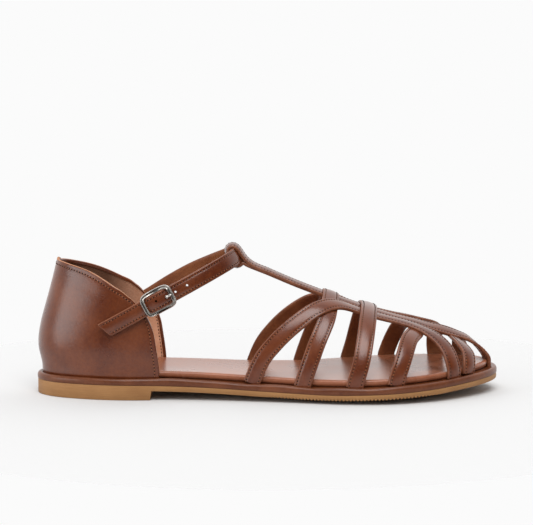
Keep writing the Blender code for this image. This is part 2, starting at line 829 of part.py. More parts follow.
def make_buckle_prong(seat):
    """Wire prong curled round the centre bar, through the strap and on to the front of the frame."""
    curl = BAR_RADIUS + PRONG_CLEARANCE + PRONG_RADIUS
    points = []
    for turn in range(PRONG_CURL, 0, -PRONG_CURL_STEP):
        points.append((curl * cos(radians(turn)), 0.0, curl * sin(radians(turn))))
    points += [(along, 0.0, out) for along, out in PRONG]
    prong = add_object("buckle_prong", curve_mesh("buckle_prong", points, PRONG_RADIUS, False), NICKEL)
    seat_on_bar(prong, seat)
    return prong


make_outsole()
make_midsole()
make_insole()
sole_space = make_sole_cutter()
make_heel_counter(sole_space)
make_strap_cage(sole_space)
hoop_seat = make_hoop_seat()
make_ankle_strap(hoop_seat)
make_buckle_tab(hoop_seat)
make_buckle_frame(hoop_seat)
make_buckle_prong(hoop_seat)
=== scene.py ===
# %% [markdown]
# # A caged leather sandal, dressed over its solid model
# The sandal is a right shoe: a tan rubber sole, a leather-covered midsole and insole, a closed heel
# counter, straps woven through a long T-bar, and an ankle strap with a centre-bar buckle. The solid model
# is loaded first as a fixed frame, in metres, with the toe along +X, the outer side of the foot along -Y
# and the floor at Z = 0. Every piece below is built in the same frame, from the same kind of shape rules
# as the solids, so nothing has to be moved into place.

# %% Load the solid model
from collections import namedtuple
from math import acos, copysign, cos, exp, hypot, pi, radians, sin

import bmesh
import bpy
from mathutils import Matrix, Vector


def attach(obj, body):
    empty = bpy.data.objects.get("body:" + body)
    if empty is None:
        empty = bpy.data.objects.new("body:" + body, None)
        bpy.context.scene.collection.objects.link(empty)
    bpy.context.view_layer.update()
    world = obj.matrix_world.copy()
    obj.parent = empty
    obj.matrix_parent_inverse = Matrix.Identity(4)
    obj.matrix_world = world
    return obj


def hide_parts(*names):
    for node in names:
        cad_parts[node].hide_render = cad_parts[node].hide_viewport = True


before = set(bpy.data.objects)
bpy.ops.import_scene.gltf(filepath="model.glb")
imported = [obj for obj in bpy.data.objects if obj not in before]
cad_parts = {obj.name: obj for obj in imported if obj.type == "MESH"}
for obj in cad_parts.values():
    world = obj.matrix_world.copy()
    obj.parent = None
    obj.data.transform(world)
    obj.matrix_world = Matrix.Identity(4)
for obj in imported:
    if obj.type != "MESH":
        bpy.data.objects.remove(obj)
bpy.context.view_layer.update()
scene = bpy.context.scene
MM = 0.001
print("solids:", sorted(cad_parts))

# %% [markdown]
# The photograph was taken from the outer side, with a long lens held a little above the shoe. A camera
# can be aimed by a tracking constraint or by its own rotation. Its own rotation is plainer here: it looks
# along +Y and dips by a few degrees. The frame is 533 by 525, so the lens is given for its long side.

# %% Camera
CAMERA_AIM = Vector((-0.95, -3.4, 71.2)) * MM
CAMERA_DISTANCE = 960 * MM
CAMERA_DIP = radians(5.9)
CAMERA_LENS = 118.3


def add_object(name, data):
    made = bpy.data.objects.new(name, data)
    scene.collection.objects.link(made)
    return made


camera = add_object("camera", bpy.data.cameras.new("camera"))
camera.data.lens = CAMERA_LENS
camera.location = CAMERA_AIM + CAMERA_DISTANCE * Vector((0.0, -cos(CAMERA_DIP), sin(CAMERA_DIP)))
camera.rotation_euler = (pi / 2 - CAMERA_DIP, 0.0, 0.0)
scene.camera = camera
print("camera at", [round(value, 3) for value in camera.location])

# %% [markdown]
# Every material and every Geometry Nodes tree below is a small graph. One function adds a node, sets its
# own settings and fills its inputs, with a value or with a link from another node. Colours are written as
# the hex values that a paint chart shows, and one function turns them into the linear values of shaders.

# %% Node and colour helpers
# Sockets of a Mix node: its factor, and its two inputs for colours and for numbers.
FACTOR, DARK, LIGHT, LOW, HIGH = 0, 6, 7, 2, 3


def linear(code):
    """An sRGB hex colour as linear red, green, blue and alpha."""
    levels = [int(code[i : i + 2], 16) / 255 for i in (1, 3, 5)]
    return (*[x / 12.92 if x <= 0.04045 else ((x + 0.055) / 1.055) ** 2.4 for x in levels], 1.0)


def fill(tree, made, inputs):
    """Fills inputs by name or number, with a value, a hex colour, a socket, or a node's first output."""
    for socket, value in inputs.items():
        if isinstance(value, str) and value.startswith("#"):
            value = linear(value)
        elif isinstance(value, bpy.types.Node):
            value = next(output for output in value.outputs if output.enabled)
        if isinstance(value, bpy.types.NodeSocket):
            tree.links.new(value, made.inputs[socket])
        else:
            made.inputs[socket].default_value = value


def node(tree, kind, inputs=None, **settings):
    """Adds a node with its own settings and fills its inputs."""
    made = tree.nodes.new(kind)
    for setting, value in settings.items():
        setattr(made, setting, value)
    fill(tree, made, inputs or {})
    return made


def pattern(place, size_mm, **more):
    """Inputs of a texture that make one cell of its pattern about this many millimetres."""
    return {"Vector": place, "Scale": 1.0 / (size_mm * MM), **more}


print("middle grey is", round(linear("#808080")[0], 3), "in linear light")

# %% [markdown]
# The studio is a small white table before a white wall. The side that the camera stands on is dark, so
# that the leather keeps its depth. A broad light hangs overhead, a little to the front, and draws the
# highlights on the straps; one at the left draws the upright highlight on the heel. A wide dome and a
# front fill soften the shadows, and both are kept out of reflections, where they would veil the leather
# in grey. Lamps close to the shoe would leave a bright pool on the table, so all four are suns with a
# wide disc. The surround that the camera itself sees is plain white from every angle.

# %% Surround and lights
SURROUND_WHITE = 0.965
# How the room brightens from the camera's side to the wall.
ROOM = {"From Min": -0.55, "From Max": 0.6, "To Min": 0.03, "To Max": 1.2}
Sun = namedtuple("Sun", "name from_direction disc strength in_reflections")
SUNS = (
    Sun("overhead light", (0.05, -0.60, 1.00), 46, 2.6, True),
    Sun("dome light", (0.00, -0.20, 1.00), 140, 0.9, False),
    Sun("left light", (-0.85, -0.45, 0.16), 34, 1.0, True),
    Sun("front fill", (0.10, -1.00, 0.30), 60, 0.5, False),
)
scene.view_settings.view_transform = "Standard"
scene.world = bpy.data.worlds.new("studio")
scene.world.use_nodes = True
sky = scene.world.node_tree
sky.nodes.clear()
direction = node(sky, "ShaderNodeTexCoord").outputs["Generated"]
towards_back = node(sky, "ShaderNodeVectorMath", {0: direction, 1: (0.0, 1.0, 0.0)}, operation="DOT_PRODUCT")
glow = node(sky, "ShaderNodeMapRange", {"Value": towards_back, **ROOM}, interpolation_type="SMOOTHSTEP")
seen = node(sky, "ShaderNodeLightPath").outputs["Is Camera Ray"]
surround = node(sky, "ShaderNodeMix", {FACTOR: seen, LOW: glow, HIGH: SURROUND_WHITE}, data_type="FLOAT")
light = node(sky, "ShaderNodeBackground", {"Color": "#ffffff", "Strength": surround})
node(sky, "ShaderNodeOutputWorld", {"Surface": light})
for sun in SUNS:
    lamp = bpy.data.lights.new(sun.name, "SUN")
    lamp.energy = sun.strength
    lamp.angle = radians(sun.disc)
    holder = add_object(sun.name, lamp)
    holder.rotation_euler = Vector(sun.from_direction).to_track_quat("Z", "Y").to_euler()
    holder.visible_glossy = sun.in_reflections
print("lights:", [sun.name for sun in SUNS])

# %% Floor
FLOOR_RADIUS = 240 * MM
FLOOR_SIDES = 128


def circle(radius, sides):
    turns = [2 * pi * i / sides for i in range(sides)]
    return [(radius * cos(turn), radius * sin(turn)) for turn in turns]


floor_mesh = bpy.data.meshes.new("floor")
floor_mesh.from_pydata([(x, y, 0.0) for x, y in circle(FLOOR_RADIUS, FLOOR_SIDES)], [], [range(FLOOR_SIDES)])
floor = add_object("floor", floor_mesh)
paper = bpy.data.materials.new("white studio paper")
paper.use_nodes = True
paper_look = {"Base Color": "#c6c6c6", "Roughness": 0.9, "Specular IOR Level": 0.0}
fill(paper.node_tree, paper.node_tree.nodes["Principled BSDF"], paper_look)
floor_mesh.materials.append(paper)
print("floor:", round(2 * FLOOR_RADIUS, 2), "m across")

# %% [markdown]
# Most of the sandal is one hide in several finishes. Smooth calf leather is dyed, plated under heat and
# waxed: the eye sees a brown that drifts over a centimetre or two, fine pores, faint creases and a satin
# gloss that is uneven where the wax has been handled. The same graph, with other colours and sizes, gives
# the other leathers. Real pores are about 0.2 mm wide; they are drawn up to four times as wide, to show.

# %% Leather
FLECK_MM = 1.6
FLECK_SHARE = 0.45
COAT_ROUGHNESS = 0.28
# The part of the noise that the two dyes span, and how much smoother and rougher handled wax gets.
TONES = {"From Min": 0.52, "From Max": 0.95}
WAX_POLISHED = 0.07
WAX_WORN = 0.1


def new_material(name):
    """A material, its tree, its shader and the Object coordinates that its patterns lie on."""
    material = bpy.data.materials.new(name)
    material.use_nodes = True
    tree = material.node_tree
    return material, tree, tree.nodes["Principled BSDF"], node(tree, "ShaderNodeTexCoord").outputs["Object"]


def leather(name, dark, light, roughness, drift_mm, pores_mm, creases_mm, coat, shine):
    """Dyed leather; pores and creases are each a size and a depth in millimetres."""
    material, tree, shader, place = new_material(name)
    drift = node(tree, "ShaderNodeTexNoise", pattern(place, drift_mm, Detail=5.0))
    fleck = node(tree, "ShaderNodeTexNoise", pattern(place, FLECK_MM, Detail=3.0))
    blend = node(tree, "ShaderNodeMath", {0: fleck, 1: FLECK_SHARE, 2: drift}, operation="MULTIPLY_ADD")
    tone = node(tree, "ShaderNodeMapRange", {"Value": blend, **TONES})
    dye = node(tree, "ShaderNodeMix", {FACTOR: tone, DARK: dark, LIGHT: light}, data_type="RGBA")
    waxed = {"Value": drift, "To Min": roughness - WAX_POLISHED, "To Max": roughness + WAX_WORN}
    gloss = node(tree, "ShaderNodeMapRange", waxed)
    pore = node(tree, "ShaderNodeTexVoronoi", pattern(place, pores_mm[0]))
    crease = node(tree, "ShaderNodeTexNoise", pattern(place, creases_mm[0], Detail=2.0, Distortion=0.6))
    folds = node(tree, "ShaderNodeBump", {"Height": crease, "Strength": 1.0, "Distance": creases_mm[1] * MM})
    pitted = {"Height": pore, "Strength": 1.0, "Distance": pores_mm[1] * MM, "Normal": folds}
    grain = node(tree, "ShaderNodeBump", pitted)
    fill(tree, shader, {"Base Color": dye, "Roughness": gloss, "Normal": grain, "Specular IOR Level": shine})
    fill(tree, shader, {"Coat Weight": coat, "Coat Roughness": COAT_ROUGHNESS})
    return material


# Plated and waxed: deep brown with a satin highlight.
CALF = leather(
    "waxed brown calf leather", "#4f200b", "#6b3415", 0.28, 16.0, (0.8, 0.03), (6.0, 0.07), 0.25, 0.5
)
# Undyed and unwaxed: pale, dry and matt, with open pores.
LINING = leather(
    "tan pigskin lining", "#c58c6b", "#dba688", 0.55, 9.0, (0.8, 0.05), (3.0, 0.10), 0.0, 0.3
)
# Split leather behind the straps: a dull middle brown.
STRAP_LINING = leather(
    "brown strap lining", "#6b3a22", "#85502f", 0.42, 12.0, (0.7, 0.03), (4.0, 0.08), 0.0, 0.3
)
# Rolled very smooth: long soft reflections of the room.
FOOTBED = leather(
    "brown sheepskin footbed", "#7d4830", "#945c42", 0.27, 20.0, (0.7, 0.01), (7.0, 0.05), 0.2, 0.3
)
# Burnished by a hot iron: darker, with a thin line of light.
WELT = leather(
    "burnished strip leather", "#532914", "#6b3b21", 0.34, 12.0, (0.6, 0.02), (4.0, 0.08), 0.12, 0.3
)
# Edge paint: flat brown, a little paler than the calf.
EDGE = leather(
    "painted leather edge", "#633520", "#7f4d34", 0.42, 5.0, (0.5, 0.03), (2.0, 0.06), 0.0, 0.4
)
# A paler brown on the crest of a fold.
PALE_EDGE = leather(
    "natural leather edge", "#96603f", "#b17c59", 0.5, 5.0, (0.5, 0.03), (2.0, 0.06), 0.0, 0.3
)
# Painted shade inside a hole: nearly black, without gloss.
HOLE_SHADE = leather(
    "raw leather in a punched hole", "#1f100a", "#341c12", 0.7, 2.0, (0.5, 0.02), (2.0, 0.04), 0.0, 0.2
)
print("leathers:", [material.name for material in (CALF, LINING, STRAP_LINING, FOOTBED, WELT)])

# %% [markdown]
# The lining's colour is palest near the front edges and darkens towards the back of the heel; this darkening
# is painted shade, for the deep back of the heel cup where little light reaches. A painted mask would do, but
# the change only follows the length of the shoe, so the X of the Object coordinates drives it.

# %% Painted shade on the lining at the heel
LINING_PALE_X = -64.0
LINING_DARK_X = -90.0
LINING_DARK_SHARE = 0.1
lining_tree = LINING.node_tree
lining_shader = lining_tree.nodes["Principled BSDF"]
lining_place = node(lining_tree, "ShaderNodeTexCoord").outputs["Object"]
lining_x = node(lining_tree, "ShaderNodeSeparateXYZ", {"Vector": lining_place})
fade = {"From Min": LINING_DARK_X * MM, "From Max": LINING_PALE_X * MM, "To Min": LINING_DARK_SHARE}
pale = node(lining_tree, "ShaderNodeMapRange", {"Value": lining_x, **fade})
lining_dye = lining_shader.inputs["Base Color"].links[0].from_socket
# painted shade: a dark brown is mixed into the lining's dye towards the back of the heel
painted_shade_inputs = {FACTOR: pale, DARK: "#4a2b1b", LIGHT: lining_dye}
wear_and_painted_shade = node(lining_tree, "ShaderNodeMix", painted_shade_inputs, data_type="RGBA")
fill(lining_tree, lining_shader, {"Base Color": wear_and_painted_shade})
print("lining fades over", LINING_PALE_X - LINING_DARK_X, "mm")

# %% [markdown]
# The tread is crepe-coloured rubber from a mould: matt, nearly even, with a cloudy tan and fine lines
# that run along the wall where the mould was milled. The buckle is zinc with an antique nickel plating,
# bright on its ridges and dark in its hollows. The thread is a twisted polyester, a little paler than the
# leather.

# %% Rubber, nickel and thread
CLOUD_MM = 14.0
MILLED_MM = 16.0
MILLED_SQUEEZE = 30.0
MILLED_DEPTH = 0.05
MILLED_SHARE = 0.6
NICKEL_WEAR_MM = 1.5
TWIST_MM = 0.5


def moulded_rubber():
    material, tree, shader, place = new_material("tan moulded rubber")
    cloud = node(tree, "ShaderNodeTexNoise", pattern(place, CLOUD_MM, Detail=4.0))
    flat = node(tree, "ShaderNodeMapping", {"Vector": place, "Scale": (1.0, 1.0, MILLED_SQUEEZE)})
    milled = node(tree, "ShaderNodeTexNoise", pattern(flat, MILLED_MM, Detail=4.0))
    blend = node(tree, "ShaderNodeMath", {0: milled, 1: MILLED_SHARE, 2: cloud}, operation="MULTIPLY_ADD")
    tone = node(tree, "ShaderNodeMapRange", {"Value": blend, "From Min": 0.5, "From Max": 1.1})
    tans = {FACTOR: tone, DARK: "#8a5e33", LIGHT: "#a37646"}
    colour = node(tree, "ShaderNodeMix", tans, data_type="RGBA")
    lines = node(tree, "ShaderNodeBump", {"Height": milled, "Strength": 1.0, "Distance": MILLED_DEPTH * MM})
    fill(tree, shader, {"Base Color": colour, "Normal": lines, "Roughness": 0.62})
    return material


def antique_nickel():
    material, tree, shader, place = new_material("antique nickel plate")
    wear = node(tree, "ShaderNodeTexNoise", pattern(place, NICKEL_WEAR_MM, Detail=4.0))
    ridge = node(tree, "ShaderNodeNewGeometry").outputs["Pointiness"]
    wear_and_painted_shade = node(tree, "ShaderNodeMapRange", {"Value": ridge, "From Min": 0.42, "From Max": 0.56})
    greys = {FACTOR: wear_and_painted_shade, DARK: "#5c5852", LIGHT: "#d4d0ca"}
    colour = node(tree, "ShaderNodeMix", greys, data_type="RGBA")
    matt = node(tree, "ShaderNodeMapRange", {"Value": wear, "To Min": 0.18, "To Max": 0.42})
    fill(tree, shader, {"Base Color": colour, "Roughness": matt, "Metallic": 1.0})
    return material


def sewing_thread():
    material, tree, shader, place = new_material("brown polyester thread")
    twist = node(tree, "ShaderNodeTexNoise", pattern(place, TWIST_MM, Detail=2.0))
    browns = {FACTOR: twist, DARK: "#7d4a30", LIGHT: "#9c6848"}
    colour = node(tree, "ShaderNodeMix", browns, data_type="RGBA")
    fill(tree, shader, {"Base Color": colour, "Roughness": 0.65, "Specular IOR Level": 0.2})
    return material


RUBBER = moulded_rubber()
NICKEL = antique_nickel()
THREAD = sewing_thread()
print("other materials:", RUBBER.name, NICKEL.name, THREAD.name)

# %% [markdown]
# A shoe is built round a last, a block with the form of the foot, and so is this model. Short tables hold
# the outline of the insole, the side line of the sole and the top line of the foot, in millimetres. A
# mesh could be sculpted instead, but tables keep every later piece on the same last.

# %% Tables of the last
SOLE_LENGTH = 254.0
SOLE_MARGIN = 5.4
GAP = 0.3
INSOLE_THICKNESS = 3.2
MIDSOLE_THICKNESS = 3.7
TREAD_THICKNESS = 2.7
INSOLE_LENGTH = SOLE_LENGTH - 2 * SOLE_MARGIN
LAST_FULLNESS = 2.1


def table(kind, *rows):
    return [kind(*row) for row in rows]


Station = namedtuple("Station", "share half_width centre")
PLAN = table(
    Station,
    (0.00, 0.0, -3.4), (0.06, 17.2, -3.4), (0.17, 24.7, -3.4), (0.29, 24.8, -3.4), (0.43, 26.6, -5.0),
    (0.56, 32.6, -4.4), (0.67, 40.0, -2.4), (0.76, 42.6, 0.2), (0.85, 38.0, 3.0), (0.93, 27.0, 5.2),
    (1.00, 0.0, 6.2),
)
SoleLine = namedtuple("SoleLine", "x underside hang")
SOLE_LINE = table(
    SoleLine,
    (-127.0, 8.0, 0.0), (-64.0, 7.9, 0.0), (-34.0, 7.2, 0.3), (-4.0, 5.9, 1.6), (26.0, 5.0, 2.6),
    (56.0, 5.5, 2.6), (86.0, 6.8, 2.4), (112.0, 8.8, 1.0), (126.0, 9.8, 0.0),
)
Ridge = namedtuple("Ridge", "share rise")
RIDGE = table(
    Ridge,
    (0.40, 63.0), (0.45, 58.0), (0.52, 50.8), (0.60, 43.4), (0.68, 36.4), (0.76, 30.0), (0.80, 26.6),
    (0.85, 21.9), (0.90, 18.2), (0.95, 11.8), (0.98, 6.2), (1.00, 0.0),
)
print("insole:", round(INSOLE_LENGTH, 1), "mm long")

# %% [markdown]
# A smooth curve reads the tables between their rows. The outline is read by a swing angle, which sweeps a
# rounded end evenly, so that heel and toe come out round without extra rows.

# %% Reading the tables
def same(value):
    return value


def swing(share):
    """Angle that sweeps a rounded outline from its heel at 0 to its toe at pi."""
    return acos(1 - 2 * min(max(share, 0.0), 1.0))


def angle_at(x):
    return swing((x + INSOLE_LENGTH / 2) / INSOLE_LENGTH)


def smooth(rows, column, at, key=same):
    """Reads one column of a table between its rows, along a smooth curve through them."""
    keys = [key(row[0]) for row in rows]
    values = [getattr(row, column) if hasattr(row, "_fields") else row[column] for row in rows]
    at = min(max(at, keys[0]), keys[-1])
    slot = 0
    while slot < len(keys) - 2 and at > keys[slot + 1]:
        slot += 1

    def pace(i):
        return (values[i + 1] - values[i]) / (keys[i + 1] - keys[i])

    def slope(i):
        if i == 0 or i == len(keys) - 1:
            return pace(min(i, len(keys) - 2))
        before = keys[i] - keys[i - 1]
        after = keys[i + 1] - keys[i]
        return (pace(i - 1) * after + pace(i) * before) / (before + after)

    span = keys[slot + 1] - keys[slot]
    t = (at - keys[slot]) / span
    from_start = (1 + 2 * t) * (1 - t) ** 2 * values[slot] + t * (1 - t) ** 2 * span * slope(slot)
    to_end = t * t * (3 - 2 * t) * values[slot + 1] + t * t * (t - 1) * span * slope(slot + 1)
    return from_start + to_end


def smooth_path(rows, places, piece_length):
    """Evenly spaced readings of a table's columns along the path that its places make."""
    reached = [0.0]
    for before, after in zip(places, places[1:]):
        reached.append(reached[-1] + (after - before).length)
    by_length = [(length, *row) for length, row in zip(reached, rows)]
    pieces = max(round(reached[-1] / piece_length), 2)
    stops = [reached[-1] * i / pieces for i in range(pieces + 1)]
    return [[smooth(by_length, column + 1, at) for column in range(len(rows[0]))] for at in stops]


print("width at the ball:", round(2 * smooth(PLAN, "half_width", swing(0.76), swing), 1), "mm")

# %% [markdown]
# Two functions give the last's form. The outline is the edge of the insole, moved out by a margin for the
# layers of the sole. The last is the foot's surface over it: a full arch from edge to edge, as high as
# the top line, and straps are laid on it by their place along the foot and their turn round it.

# %% Form of the last
ANGLE_STEP = 0.002
TURN_STEP = 0.1


def midsole_underside(x):
    return smooth(SOLE_LINE, "underside", x)


def midsole_top(x):
    return midsole_underside(x) + MIDSOLE_THICKNESS


def insole_top(x):
    return midsole_top(x) + GAP + INSOLE_THICKNESS


def centre(angle):
    return smooth(PLAN, "centre", angle, swing)


def station_x(angle):
    return -INSOLE_LENGTH / 2 * cos(angle)


def outline(angle, side, margin):
    """Point of the insole's outline moved out by a margin, on the outer (-1) or the inner (1) side."""

    def on_edge(a):
        half_width = max(smooth(PLAN, "half_width", a, swing), 0.0)
        return Vector((station_x(a), centre(a) + side * half_width))

    along = on_edge(min(angle + ANGLE_STEP, pi)) - on_edge(max(angle - ANGLE_STEP, 0.0))
    if angle in (0.0, pi):
        along.x = 0.0
    out = side * Vector((-along.y, along.x)).normalized()
    return on_edge(angle) + margin * out


def last(angle, turn):
    """Point on the foot's surface; a turn in degrees is negative towards the outer side."""
    side = copysign(1.0, turn)
    bend = radians(min(abs(turn), 90.0))
    edge = outline(angle, side, GAP)
    middle = centre(angle)
    reach = sin(bend) ** (2 / LAST_FULLNESS)
    rise = max(cos(bend), 0.0) ** (2 / LAST_FULLNESS)
    x = station_x(angle)
    y = middle + (edge.y - middle) * reach
    z = insole_top(x) + smooth(RIDGE, "rise", angle, swing) * rise - max(abs(turn) - 90.0, 0.0)
    return Vector((x + (edge.x - x) * reach, y, z))


print("top of the last at the ball:", round(last(swing(0.76), 0.0).z, 1), "mm")

# %% [markdown]
# Each piece is a mesh that is built in millimetres and scaled once. Two builders are enough for the whole
# shoe. A plate is a layer of the sole: rings run round its rim, and a grid closes its top and underside.
# A strip is a leather band: its section is carried along a row of stations. A subdivision surface would also
# round such edges, but rings placed one by one keep the sizes exact.

# %% Pieces and plates
WELD_MM = 0.004
SHARP_ANGLE = radians(60)
Rim = namedtuple("Rim", "margin height")


def make_piece(name, build, materials):
    """Turns a mesh in millimetres into a piece in metres, with smooth shading."""
    bmesh.ops.remove_doubles(build, verts=build.verts, dist=WELD_MM)
    bmesh.ops.recalc_face_normals(build, faces=build.faces)
    bmesh.ops.scale(build, vec=(MM, MM, MM), verts=build.verts)
    for face in build.faces:
        face.smooth = True
    mesh = bpy.data.meshes.new(name)
    build.to_mesh(mesh)
    build.free()
    mesh.set_sharp_from_angle(angle=SHARP_ANGLE)
    for material in materials:
        mesh.materials.append(material)
    return add_object(name, mesh)


def join_rings(build, before, after):
    """Faces between two closed rings of as many points."""
    turned = zip(before, before[1:] + before[:1], after[1:] + after[:1], after)
    return [build.faces.new(corners) for corners in turned]


def settle(piece, slot, *nodes):
    """Hangs a finished piece on the root body and hides the solids that it stands for; the slot is not used.
    """
    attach(piece, "root")
    if nodes:
        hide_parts(*nodes)
    print(piece.name, len(piece.data.polygons), "faces")
    return piece


def plate(name, angles, rim, across, material):
    """A sole layer; its rim rows run from the underside round the edge to the top, as margin and height."""
    build = bmesh.new()
    end = len(angles) - 1

    def point(angle, side, row):
        spot = outline(angle, side, row.margin)
        return Vector((spot.x, spot.y, row.height(spot.x, side)))

    rings = []
    for row in rim:
        there = [point(angle, -1, row) for angle in angles]
        back = [point(angle, 1, row) for angle in reversed(angles[1:-1])]
        rings.append([build.verts.new(spot) for spot in there + back])
    for before, after in zip(rings, rings[1:]):
        join_rings(build, before, after)
    for row, ring in ((rim[0], rings[0]), (rim[-1], rings[-1])):
        lines = []
        for i in range(1, end):
            outer, inner = ring[i], ring[-i]
            line = [outer]
            for j in range(1, across):
                spot = outer.co.lerp(inner.co, j / across)
                spot.z = row.height(spot.x, 2 * j / across - 1)
                line.append(build.verts.new(spot))
            lines.append(line + [inner])
        for before, after in zip(lines, lines[1:]):
            for j in range(across):
                build.faces.new((before[j], before[j + 1], after[j + 1], after[j]))
        for tip, line in ((ring[0], lines[0]), (ring[end], lines[-1])):
            for j in range(across):
                build.faces.new((tip, line[j], line[j + 1]))
    return make_piece(name, build, [material])


print("edges sharper than", round(SHARP_ANGLE, 2), "rad stay sharp")

# %% Strips
TOP, CUT_EDGE, UNDERNEATH = 0, 1, 2
STRAP_MATERIALS = [CALF, EDGE, STRAP_LINING]
COUNTER_MATERIALS = [CALF, PALE_EDGE, LINING]


def strip(name, rings, zones, materials, edged=0):
    """A band from rings of points; a zone number gives each side of its section a material.

    The first few steps, as many as edged says, are a bevelled end in the colour of the cut edge.
    """
    build = bmesh.new()
    rings = [[build.verts.new(spot) for spot in ring] for ring in rings]
    for number, (before, after) in enumerate(zip(rings, rings[1:])):
        for face, zone in zip(join_rings(build, before, after), zones):
            face.material_index = CUT_EDGE if number < edged else zone
    caps = [build.faces.new(rings[0]), build.faces.new(rings[-1])]
    for cap in caps:
        cap.material_index = CUT_EDGE
    bmesh.ops.triangulate(build, faces=caps)
    return make_piece(name, build, materials)


print("a strap shows", [material.name for material in STRAP_MATERIALS])

# %% [markdown]
# The outsole is one rubber moulding. Its heel block stands flat, the waist is lifted, and the ball rests
# on the middle of the tread while the edges curve up. The heel's front wall needs two stations close
# together, so they are added to the even ones. The underside stops short of the ribs that the next step
# adds.

# %% Outsole
SOLE_STEPS = 160
TREAD_INSET = 0.2
TREAD_FLAT_SHARE = 0.5
TREAD_SPLITS = 16
HEEL_BREAST_X = -63.6
HEEL_BREAST_LEAN = 0.8
RIB_HEIGHT = 0.6
RIB_START_X = -2.0
RIB_END_X = 90.0
RIB_FADE = 8.0
HAIR = 0.05
# Rows of the rounded edge: how far in from the rim, and how far above the underside.
TREAD_ROWS = ((0.8, 0.0), (0.3, 0.06), (0.0, 0.35))
TREAD_TOP_INSETS = (0.0, 3.0)

even_angles = [pi * i / SOLE_STEPS for i in range(SOLE_STEPS + 1)]
breast_angles = [angle_at(HEEL_BREAST_X), angle_at(HEEL_BREAST_X + HEEL_BREAST_LEAN)]
sole_angles = [angle for angle in even_angles if angle < breast_angles[0]]
sole_angles += breast_angles + [angle for angle in even_angles if angle > breast_angles[1]]


def rib_depth(x):
    """How deep the tread is cut between its ribs; it runs out towards the waist and the toe."""
    share = min(x - RIB_START_X, RIB_END_X - x) / RIB_FADE
    return RIB_HEIGHT * min(max(share, 0.0), 1.0)


def tread_underside(x, share):
    if x < HEEL_BREAST_X + HEEL_BREAST_LEAN / 2:
        return 0.0
    past_flat = max(abs(share) - TREAD_FLAT_SHARE, 0.0) / (1 - TREAD_FLAT_SHARE)
    edge = midsole_underside(x) - GAP - TREAD_THICKNESS
    return max(edge - smooth(SOLE_LINE, "hang", x) * (1 - past_flat**2), 0.0) + rib_depth(x)


def tread_top(x, share):
    return midsole_underside(x) - HAIR


def tread_row(inset, above):
    return Rim(tread_margin - inset, lambda x, share: tread_underside(x, share) + above)


tread_margin = SOLE_MARGIN - TREAD_INSET
outsole_rim = [tread_row(*row) for row in TREAD_ROWS]
outsole_rim += [Rim(tread_margin - inset, tread_top) for inset in TREAD_TOP_INSETS]
settle(plate("outsole_rubber", sole_angles, outsole_rim, TREAD_SPLITS, RUBBER), "outsole_rubber", "outsole")

# %% [markdown]
# What repeats on the shoe, such as ribs, holes and stitches, is made by Geometry Nodes. Each tree is
# built here in the script, with named inputs for its sizes. It runs on a piece that holds only lines or a
# bare shape, and the result is kept as a plain mesh, because the export can't take instances or a live
# modifier.

# %% Geometry Nodes helpers
def new_tree(name, sockets):
    """An empty Geometry Nodes tree with named inputs, and its group input and output."""
    tree = bpy.data.node_groups.new(name, "GeometryNodeTree")
    for label, kind in sockets.items():
        tree.interface.new_socket(label, in_out="INPUT", socket_type="NodeSocket" + kind)
    tree.interface.new_socket("Geometry", in_out="OUTPUT", socket_type="NodeSocketGeometry")
    return tree, node(tree, "NodeGroupInput").outputs, node(tree, "NodeGroupOutput")


def grow(piece, tree, values):
    """Runs a tree on a piece with named values, and keeps the result as its plain mesh."""
    modifier = piece.modifiers.new(tree.name, "NODES")
    modifier.node_group = tree
    for item in tree.interface.items_tree:
        if item.in_out == "INPUT" and item.name in values:
            modifier[item.identifier] = values[item.name]
    bpy.context.view_layer.update()
    grown = bpy.data.meshes.new_from_object(piece.evaluated_get(bpy.context.evaluated_depsgraph_get()))
    piece.modifiers.remove(modifier)
    old = piece.data
    piece.data = grown
    bpy.data.meshes.remove(old)
    grown.name = piece.name
    return piece


def lines_piece(name, lines):
    """A piece of bare lines, each a row of points in millimetres, for a tree to follow."""
    points = [MM * Vector(point) for line in lines for point in line]
    edges, start = [], 0
    for line in lines:
        edges += [(start + i, start + i + 1) for i in range(len(line) - 1)]
        start += len(line)
    mesh = bpy.data.meshes.new(name)
    mesh.from_pydata(points, edges, [])
    return add_object(name, mesh)


print("trees before the first:", len(bpy.data.node_groups))

# %% [markdown]
# From the side, the lower edge of the forefoot shows a row of small teeth: they are the ends of ribs that
# run across the tread. Each rib could be a cube in an array, but the tread is curved, so the tree sweeps
# a four-sided bar along one line for each rib. The lines lie on the tread, and the tree has the bar's
# size.

# %% Tread ribs
RIB_PITCH = 1.8
RIB_BAR_RADIUS = 0.64
RIB_POINTS = 12
RIB_INSET = 0.1

rib_inputs = {"Lines": "Geometry", "Bar radius": "Float", "Material": "Material"}
rib_tree, rib_in, rib_out = new_tree("ribs along lines", rib_inputs)
rib_way = node(rib_tree, "GeometryNodeMeshToCurve", {"Mesh": rib_in["Lines"]})
rib_round = {"Resolution": 4, "Radius": rib_in["Bar radius"]}
rib_bar = node(rib_tree, "GeometryNodeCurvePrimitiveCircle", rib_round)
swept = {"Curve": rib_way, "Profile Curve": rib_bar, "Fill Caps": True}
rib_mesh = node(rib_tree, "GeometryNodeCurveToMesh", swept)
rib_flat = node(rib_tree, "GeometryNodeSetShadeSmooth", {"Geometry": rib_mesh, "Shade Smooth": False})
rib_real = node(rib_tree, "GeometryNodeRealizeInstances", {"Geometry": rib_flat})
rib_done = node(rib_tree, "GeometryNodeSetMaterial", {"Geometry": rib_real, "Material": rib_in["Material"]})
fill(rib_tree, rib_out, {"Geometry": rib_done})

